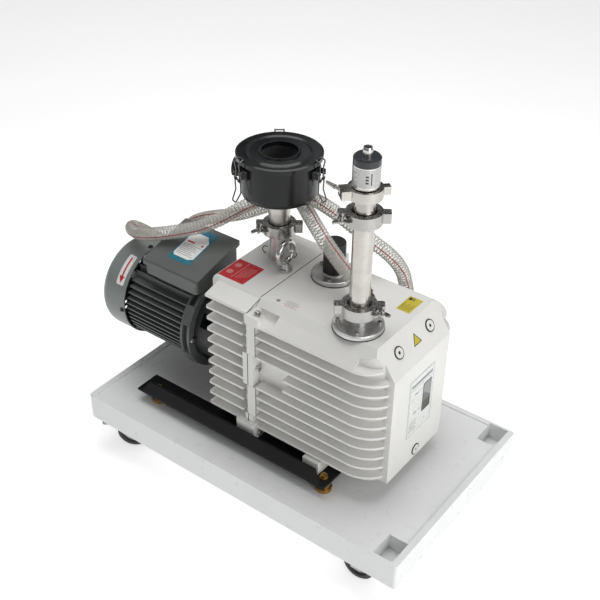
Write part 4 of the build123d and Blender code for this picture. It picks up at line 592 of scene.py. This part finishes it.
# name, turn round the hose from its first stripe, half width in mm, colour
STRIPES = (("stripe_1", 0.0, 1.0, stripe_red), ("stripe_2", 2.2, 1.0, stripe_red),
           ("stripe_3", 4.3, 1.0, stripe_red), ("line", 1.1, 0.5, stripe_green))


def hose(name, route, stripe_turn):
    points, length = centre_line(name + "_line", route)
    step = length / (len(points) - 1)
    wave = 2 * math.pi * step / PITCH_MM
    wall = Shape().sweep(points, lambda k, t: HOSE_R - RIB + RIB * math.cos(wave * k - t), 28, closed=True)
    tube = wall.done(name + "_wall", pvc, smooth=True, slot="hose_clear")
    frames = carried_frames(points)
    spiral = []
    for n in range(int(length / PITCH_MM * TURN_STEPS)):
        far = n / TURN_STEPS * PITCH_MM / step
        k = min(int(far), len(points) - 2)
        at = points[k].lerp(points[k + 1], far - k)
        side, other = frames[k]
        t = 2 * math.pi * n / TURN_STEPS
        spiral.append(at + (side * math.cos(t) + other * math.sin(t)) * (HOSE_R - WIRE_DEPTH))
    wire = Shape().sweep(spiral, WIRE_R, 5).done(name + "_helix", helix_steel, smooth=True, slot="stainless")
    for label, offset, width, ink in STRIPES:
        turn = stripe_turn + offset
        verts, faces = [], []
        for k, (p, (side, other)) in enumerate(zip(points, frames)):
            for j, off in enumerate((-width, -width, 0, width, width)):
                t = turn + off / HOSE_R
                r = HOSE_R + (0.0 if j in (0, 4) else 0.14)
                verts.append(p + (side * math.cos(t) + other * math.sin(t)) * r)
            if k:
                for j in range(4):
                    faces.append([5 * k - 5 + j, 5 * k - 4 + j, 5 * k + 1 + j, 5 * k + j])
        Shape().add(verts, faces).done(f"{name}_{label}", ink, smooth=True, slot="hose_clear")
    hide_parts(name)


hose("hose_front", FRONT_ROUTE, 2.2)
hose("hose_rear", REAR_ROUTE, 0.6)

# ---------------------------------------------------------------- printed films and labels
red_film = printed("film_red", (0.52, 0.022, 0.030), 0.30)
white_film = printed("film_white", (0.80, 0.80, 0.78), 0.30)
silver_film = printed("film_silver", (0.50, 0.50, 0.49), 0.28, 0.5)
yellow_film = printed("film_yellow", (0.56, 0.46, 0.05), 0.35)
teal_film = printed("film_teal", (0.010, 0.16, 0.23), 0.30)
ink_dark = printed("ink_dark", (0.03, 0.03, 0.032), 0.4)
gasket = moulded("gasket_line", (0.012, 0.012, 0.012), 0.6)
ink_grey = printed("ink_grey", (0.24, 0.25, 0.25), 0.4)
ink_pale_red = printed("ink_pale_red", (0.62, 0.22, 0.20), 0.35)



def deck(a, b, h):
    return Vector((a, b, DECK_Z + h))


def film(name, ink, outline, place, low, high, inset=0.0):
    """A flat label or bar of printed film."""
    Shape().prism(outline, place, low, high, inset).done(name, ink, slot="plate_metal")


# red film on the housing, with a plain divider and rows of bars
film("label_red", red_film, box_outline(-105, -93, -38, -21, 1.5), deck, 0, 0.35, 0.1)
marks = Shape()
marks.prism(box_outline(-75.6, -87, -73.8, -24), deck, 0.3, 0.42)
for k in range(5):
    marks.prism(box_outline(-68 + k * 5, -82 + k * 3, -66.6 + k * 5, -40 + k * 2), deck, 0.3, 0.42)
for cb in (-70, -42):
    marks.prism(ring_outline(-91, cb, 7.5), deck, 0.3, 0.40)
marks.done("label_red_marks", ink_pale_red, slot="plate_metal")

# yellow film on the casing
film("label_yellow", yellow_film, box_outline(254, 30, 285, 84, 1.0), deck, 0, 0.35, 0.1)
marks = Shape()
marks.prism(box_outline(257, 71, 264, 80), deck, 0.3, 0.42)
marks.prism(box_outline(266.5, 71, 269, 80), deck, 0.3, 0.42)
for k in range(5):
    marks.prism(box_outline(258 + k * 5.0, 35, 259.1 + k * 5.0, 60 - 7 * (k % 2)), deck, 0.3, 0.42)
marks.done("label_yellow_marks", ink_dark, slot="plate_metal")

# small marks beside the gas ballast
marks = Shape()
marks.prism(ring_outline(54, -92, 4.4), deck, 0, 0.12)
for k in range(4):
    b = -94 + k * 4.4
    marks.prism(box_outline(68 + 2 * (k % 2), b, 96 + 3 * (k % 3), -93.0 + k * 4.4), deck, 0, 0.12)
marks.done("deck_marks", ink_grey, slot="plate_metal")
film("deck_mark_red", ink_pale_red, box_outline(72, -98.5, 104, -97.2), deck, 0, 0.12)

# gasket line where the two castings meet
# (along the shaft, lowest, highest) on the flanks, where tabs of one casting lap over the other
FLANK_LINES = ((19.0, 216, 240), (39.6, 240, 318), (19.0, 318, 400), (39.6, 400, 476), (19.0, 476, 499))
line = Shape().prism(box_outline(18.2, -103.6, 19.8, 103.6), deck, 0, 0.2)
for side in (-1, 1):
    shoulder = plane_place((0, 150 * side, 501.75), (-side, 0, 0), (0, -46 * side, 12.25))
    line.prism(box_outline(-side * 19.0 - 0.8, 0.2, -side * 19.0 + 0.8, 47.2), shoulder, 0, 0.2)
    flank = plane_place((0, 150 * side, 0), (-side, 0, 0), (0, 0, 1))
    for x, z0, z1 in FLANK_LINES:
        line.prism(box_outline(-side * x - 0.8, z0, -side * x + 0.8, z1), flank, 0, 0.2)
line.done("parting_line", gasket, slot="seal_rubber")

# triangle on the slope
down = Vector((42.6, 0, -63.6)).normalized()
slope = plane_place((320.5, 0, 484.2), (0, 1, 0), -down)
TRIANGLE_A, TRIANGLE_B = 4.0, -1.0


def triangle(r):
    turns = [2 * math.pi * k / 3 for k in (0, 1, 2)]
    return [(TRIANGLE_A + r * math.sin(t), TRIANGLE_B + r * math.cos(t)) for t in turns]


film("slope_triangle_edge", ink_dark, triangle(16.0), slope, 0, 0.30)
film("slope_triangle", yellow_film, triangle(12.6), slope, 0.2, 0.42)

# painted shade: flat dark hexagons stand in for the shaded hex recesses of the filler, return and drain plugs
HEX_SHADE = [(3.3, 0), (3.3, 0.6), (2.9, 0.8), (0.1, 0.8)]
hex_shade_discs = Shape()
for a in (-56.5, 56.5):
    at = slope(a, 4.0, 0.9)
    out = slope(a, 4.0, 1.9) - at
    hex_shade_discs.turned(HEX_SHADE, at, out, 6)
hex_shade_discs.turned(HEX_SHADE, (342.3, 3, 210), (1, 0, 0), 6)
hex_shade_discs.done("plug_hex_shade", black_plastic, slot="black_plastic")

# plate on the end: frame line, heading bar, level marks and rows of bars
end = plane_place((342.8, 0, 0), (0, 1, 0), (0, 0, 1))


def four_bars(a0, b0, a1, b1, width):
    """The four sides of a frame line, as boxes."""
    return ((a0, b0, a1, b0 + width), (a0, b1 - width, a1, b1),
            (a0, b0 + width, a0 + width, b1 - width), (a1 - width, b0 + width, a1, b1 - width))


marks = Shape()
for bar in four_bars(-39.2, 266.6, 50.2, 411.6, 0.6):
    marks.prism(box_outline(*bar), end, 0, 0.12)
marks.prism(box_outline(-34, 393.0, 44, 399.5, 1.0), end, 0, 0.14)
marks.prism(box_outline(-36, 387.0, 47, 387.8), end, 0, 0.12)
for z in (371, 322):
    marks.prism(box_outline(-6, z, 11, z + 1.0), end, 0, 0.12)
    marks.prism(box_outline(-20, z - 1.6, -9, z + 2.2, 0.8), end, 0, 0.12)
for k in range(5):
    marks.prism(box_outline(-34, 300 - k * 5.5, -6 - 5 * (k % 2), 301.3 - k * 5.5), end, 0, 0.12)
marks.done("plate_marks", ink_grey, slot="plate_metal")
rim = Shape()
for bar in four_bars(11.6, 306.6, 42.4, 379.4, 1.6):
    rim.prism(box_outline(*bar), end, 0, 0.5, 0.15)
rim.done("window_rim", ink_dark, slot="plate_metal")

# ---------------------------------------------------------------- arrow on the cowl
COWL_R = 112.0


def cowl_place(a, b, h):
    t = math.radians(b)
    return Vector((a, -(COWL_R + h) * math.cos(t), MOTOR_AXIS_Z + (COWL_R + h) * math.sin(t)))


def rounded_rows(a0, a1, b0, b1, corner_a, corner_b, steps=26):
    rows = []
    for i in range(steps + 1):
        b = b0 + (b1 - b0) * i / steps
        near = min(b - b0, b1 - b)
        cut = 0.0
        if near < corner_b:
            cut = corner_a * (1 - math.sqrt(max(0, 1 - (1 - near / corner_b) ** 2)))
        rows.append((b, a0 + cut, a1 - cut))
    return rows


panel = Shape().strip(rounded_rows(-411, -389, 27, 66, 2.5, 1.4), cowl_place, 0.0, 0.35)
panel.done("cowl_label", white_film, slot="plate_metal")
SHAFT_ROWS = [(b, -402.2, -397.8) for b in (37.5, 42, 46, 50, 54, 58, 62.5)]
TIP_ROWS = [(30.0, -400.3, -399.7), (32.5, -402.6, -397.4), (35.0, -405.0, -395.0), (38.0, -407.6, -392.4)]
arrow = Shape()
arrow.strip(SHAFT_ROWS, cowl_place, 0.30, 0.46)
arrow.strip(TIP_ROWS, cowl_place, 0.30, 0.47)
arrow.done("cowl_arrow", red_film, slot="plate_metal")

SCREW_HEAD = [(6.4, 0), (6.4, 0.8), (5.9, 1.1), (4.2, 1.1), (4.2, 3.2), (3.6, 4.0), (1.9, 4.0), (1.8, 2.4), (0.1, 2.4)]
heads = Shape()
for b in (-3, 87, 177, 267):
    t = math.radians(b)
    out = Vector((0, -math.cos(t), math.sin(t)))
    at = Vector((-386, 0, MOTOR_AXIS_Z)) + out * (COWL_R - 0.2)
    heads.turned(SCREW_HEAD, at, out, 18)
smooth_by_angle(heads.done("cowl_screws", black_plastic, slot="zinc_steel"))

# ---------------------------------------------------------------- label on the terminal lid
LID_TILT = 0.255
lid_top = plane_place((0, -88, 461), (1, 0, 0), (0, 1, LID_TILT))
b0, b1 = 32.5, 138.0
film("lid_label", teal_film, box_outline(-285, b0, -222, b1, 4.0), lid_top, 0, 0.35, 0.1)
PANEL = [(-282, b0 + 20), (-276, b0 + 13), (-236, b0 + 13), (-225, b0 + 20),
         (-225, b1 - 30), (-240, b1 - 14), (-282, b1 - 14)]
film("lid_label_panel", white_film, PANEL, lid_top, 0.3, 0.46)
marks = Shape()
for k in range(6):
    b = b0 + 22 + k * 5.2
    marks.prism(box_outline(-278, b, -232 - 5 * (k % 3), b + 1.3), lid_top, 0.42, 0.54)
marks.prism(box_outline(-280, b0 + 53.0, -227, b0 + 54.0), lid_top, 0.42, 0.54)
marks.done("lid_label_lines", ink_grey, slot="plate_metal")
marks = Shape()
marks.prism(box_outline(-276, b0 + 60, -256, b0 + 64.5, 0.8), lid_top, 0.42, 0.54)
marks.prism(box_outline(-236, b0 + 59, -230, b0 + 64, 0.8), lid_top, 0.42, 0.54)
marks.done("lid_label_bar", red_film, slot="plate_metal")

# ---------------------------------------------------------------- gauge head
GX, GY = 229.0, -66.0


def gauge_place(a, b, h):
    t = math.radians(b)
    r = 25.5 + h
    return Vector((GX + r * math.cos(t), GY + r * math.sin(t), a))


band = Shape().strip(rounded_rows(831, 866, -215, 25, 1.5, 2.0, 60), gauge_place, 0.0, 0.25)
band.done("gauge_label", silver_film, slot="plate_metal")
marks = Shape()
for k in range(5):
    a = 857 - k * 4.4
    stretch = 34 - 7 * (k % 2)
    marks.strip([(b, a, a + 1.0) for b in range(-132, -132 + stretch, 4)], gauge_place, 0.22, 0.36)
for k in range(3):
    marks.strip([(b, 840 + k * 6, 843.2 + k * 6) for b in range(-60, -46, 3)], gauge_place, 0.22, 0.36)
marks.strip([(b, 836, 860) for b in range(-38, -32, 2)], gauge_place, 0.22, 0.36)
marks.done("gauge_label_marks", ink_dark, slot="plate_metal")
insert = Shape()
insert.turned([(4.6, 0), (4.6, 0.8), (4.2, 1.1), (0.1, 1.1)], (GX, GY, 898.8), (0, 0, 1), 24)
smooth_by_angle(insert.done("gauge_socket", black_plastic, slot="black_plastic"))

# ---------------------------------------------------------------- wire hooks beside the intake port
hooks = Shape()
for sx, sy in ((-1, -0.35), (1, 0.35)):
    out = Vector((sx, sy, 0)).normalized()
    at = Vector((-48, 42, DECK_Z)) + out * 30
    path = []
    for i in range(15):
        t = math.radians(-90 + 15 * i)
        path.append(at + out * (8 * math.cos(t)) + Vector((0, 0, 9 + 8 * math.sin(t))))
    hooks.sweep(path, 1.1, 8)
hooks.done("port_hooks", latch_wire, smooth=True, slot="latch_wire")

# ---------------------------------------------------------------- floor, world and lights
floor_look = Look("floor", (0.80, 0.80, 0.80), 0.7)
floor_look.shift(floor_look.noise(2, 2), 0.01)
floor_look.set(Emission_Color=(1, 1, 1, 1), Emission_Strength=0.56)
bpy.ops.mesh.primitive_plane_add(size=40, location=(0, 0, cad_box[0][2]))
floor = bpy.context.object
floor.name = "floor"
floor.data.materials.append(floor_look.done())

# brightness of the sky by height (0 straight down, 1 straight up) and across, in bands that metals reflect
SKY_HEIGHT = ((0.50, 0.30), (0.60, 0.26), (0.70, 0.80))
SKY_ACROSS = ((0.20, 0.95), (0.27, 0.10), (0.33, 0.12), (0.40, 1.0), (0.58, 1.0), (0.64, 0.10), (0.72, 0.12), (0.79, 1.0))
SKY_STRENGTH = 0.52

world = bpy.data.worlds.new("studio")
bpy.context.scene.world = world
world.use_nodes = True
tree = world.node_tree
coord = tree.nodes.new("ShaderNodeTexCoord")
split = tree.nodes.new("ShaderNodeSeparateXYZ")
tree.links.new(coord.outputs["Generated"], split.inputs[0])


def sky_ramp(axis, start, first, last, stops, blue=1.0):
    """A colour ramp along one axis of the sky: first colour at start, last colour at 1, greys between them."""
    spread = tree.nodes.new("ShaderNodeMapRange")
    spread.inputs["From Min"].default_value = -1
    tree.links.new(split.outputs[axis], spread.inputs["Value"])
    made = tree.nodes.new("ShaderNodeValToRGB")
    tree.links.new(spread.outputs["Result"], made.inputs["Fac"])
    elements = made.color_ramp.elements
    elements[0].position = start
    elements[0].color = first
    elements[1].color = last
    for at, value in stops:
        elements.new(at).color = (value, value, value * blue, 1)
    return made.outputs["Color"]


by_height = sky_ramp("Z", 0.44, (0.75, 0.75, 0.75, 1), (0.62, 0.62, 0.63, 1), SKY_HEIGHT, 1.01)
across = sky_ramp("X", 0.0, (0.9, 0.9, 0.9, 1), (1, 1, 1, 1), SKY_ACROSS)
product = tree.nodes.new("ShaderNodeMix")
product.data_type = "RGBA"
product.blend_type = "MULTIPLY"
product.inputs[0].default_value = 1.0
tree.links.new(by_height, product.inputs[6])
tree.links.new(across, product.inputs[7])
sky = tree.nodes["Background"]
tree.links.new(product.outputs[2], sky.inputs["Color"])
sky.inputs["Strength"].default_value = SKY_STRENGTH


def softbox(name, at, towards, width, height, watts):
    data = bpy.data.lights.new(name, "AREA")
    data.shape = "RECTANGLE"
    data.size, data.size_y = width, height
    data.energy = watts
    lamp = bpy.data.objects.new(name, data)
    bpy.context.scene.collection.objects.link(lamp)
    lamp.location = at
    lamp.rotation_mode = "QUATERNION"
    lamp.rotation_quaternion = (Vector(towards) - Vector(at)).to_track_quat("-Z", "Y")


softbox("key_right", (2.9, -0.7, 1.3), (0.1, 0, 0.4), 1.8, 1.6, 36)
softbox("front_fill", (-0.3, -3.0, 1.5), (0, 0, 0.35), 2.4, 1.5, 2)
softbox("overhead", (-0.1, 0.4, 2.9), (0, 0, 0.3), 2.6, 1.8, 48)
bpy.context.scene.view_settings.view_transform = "Standard"
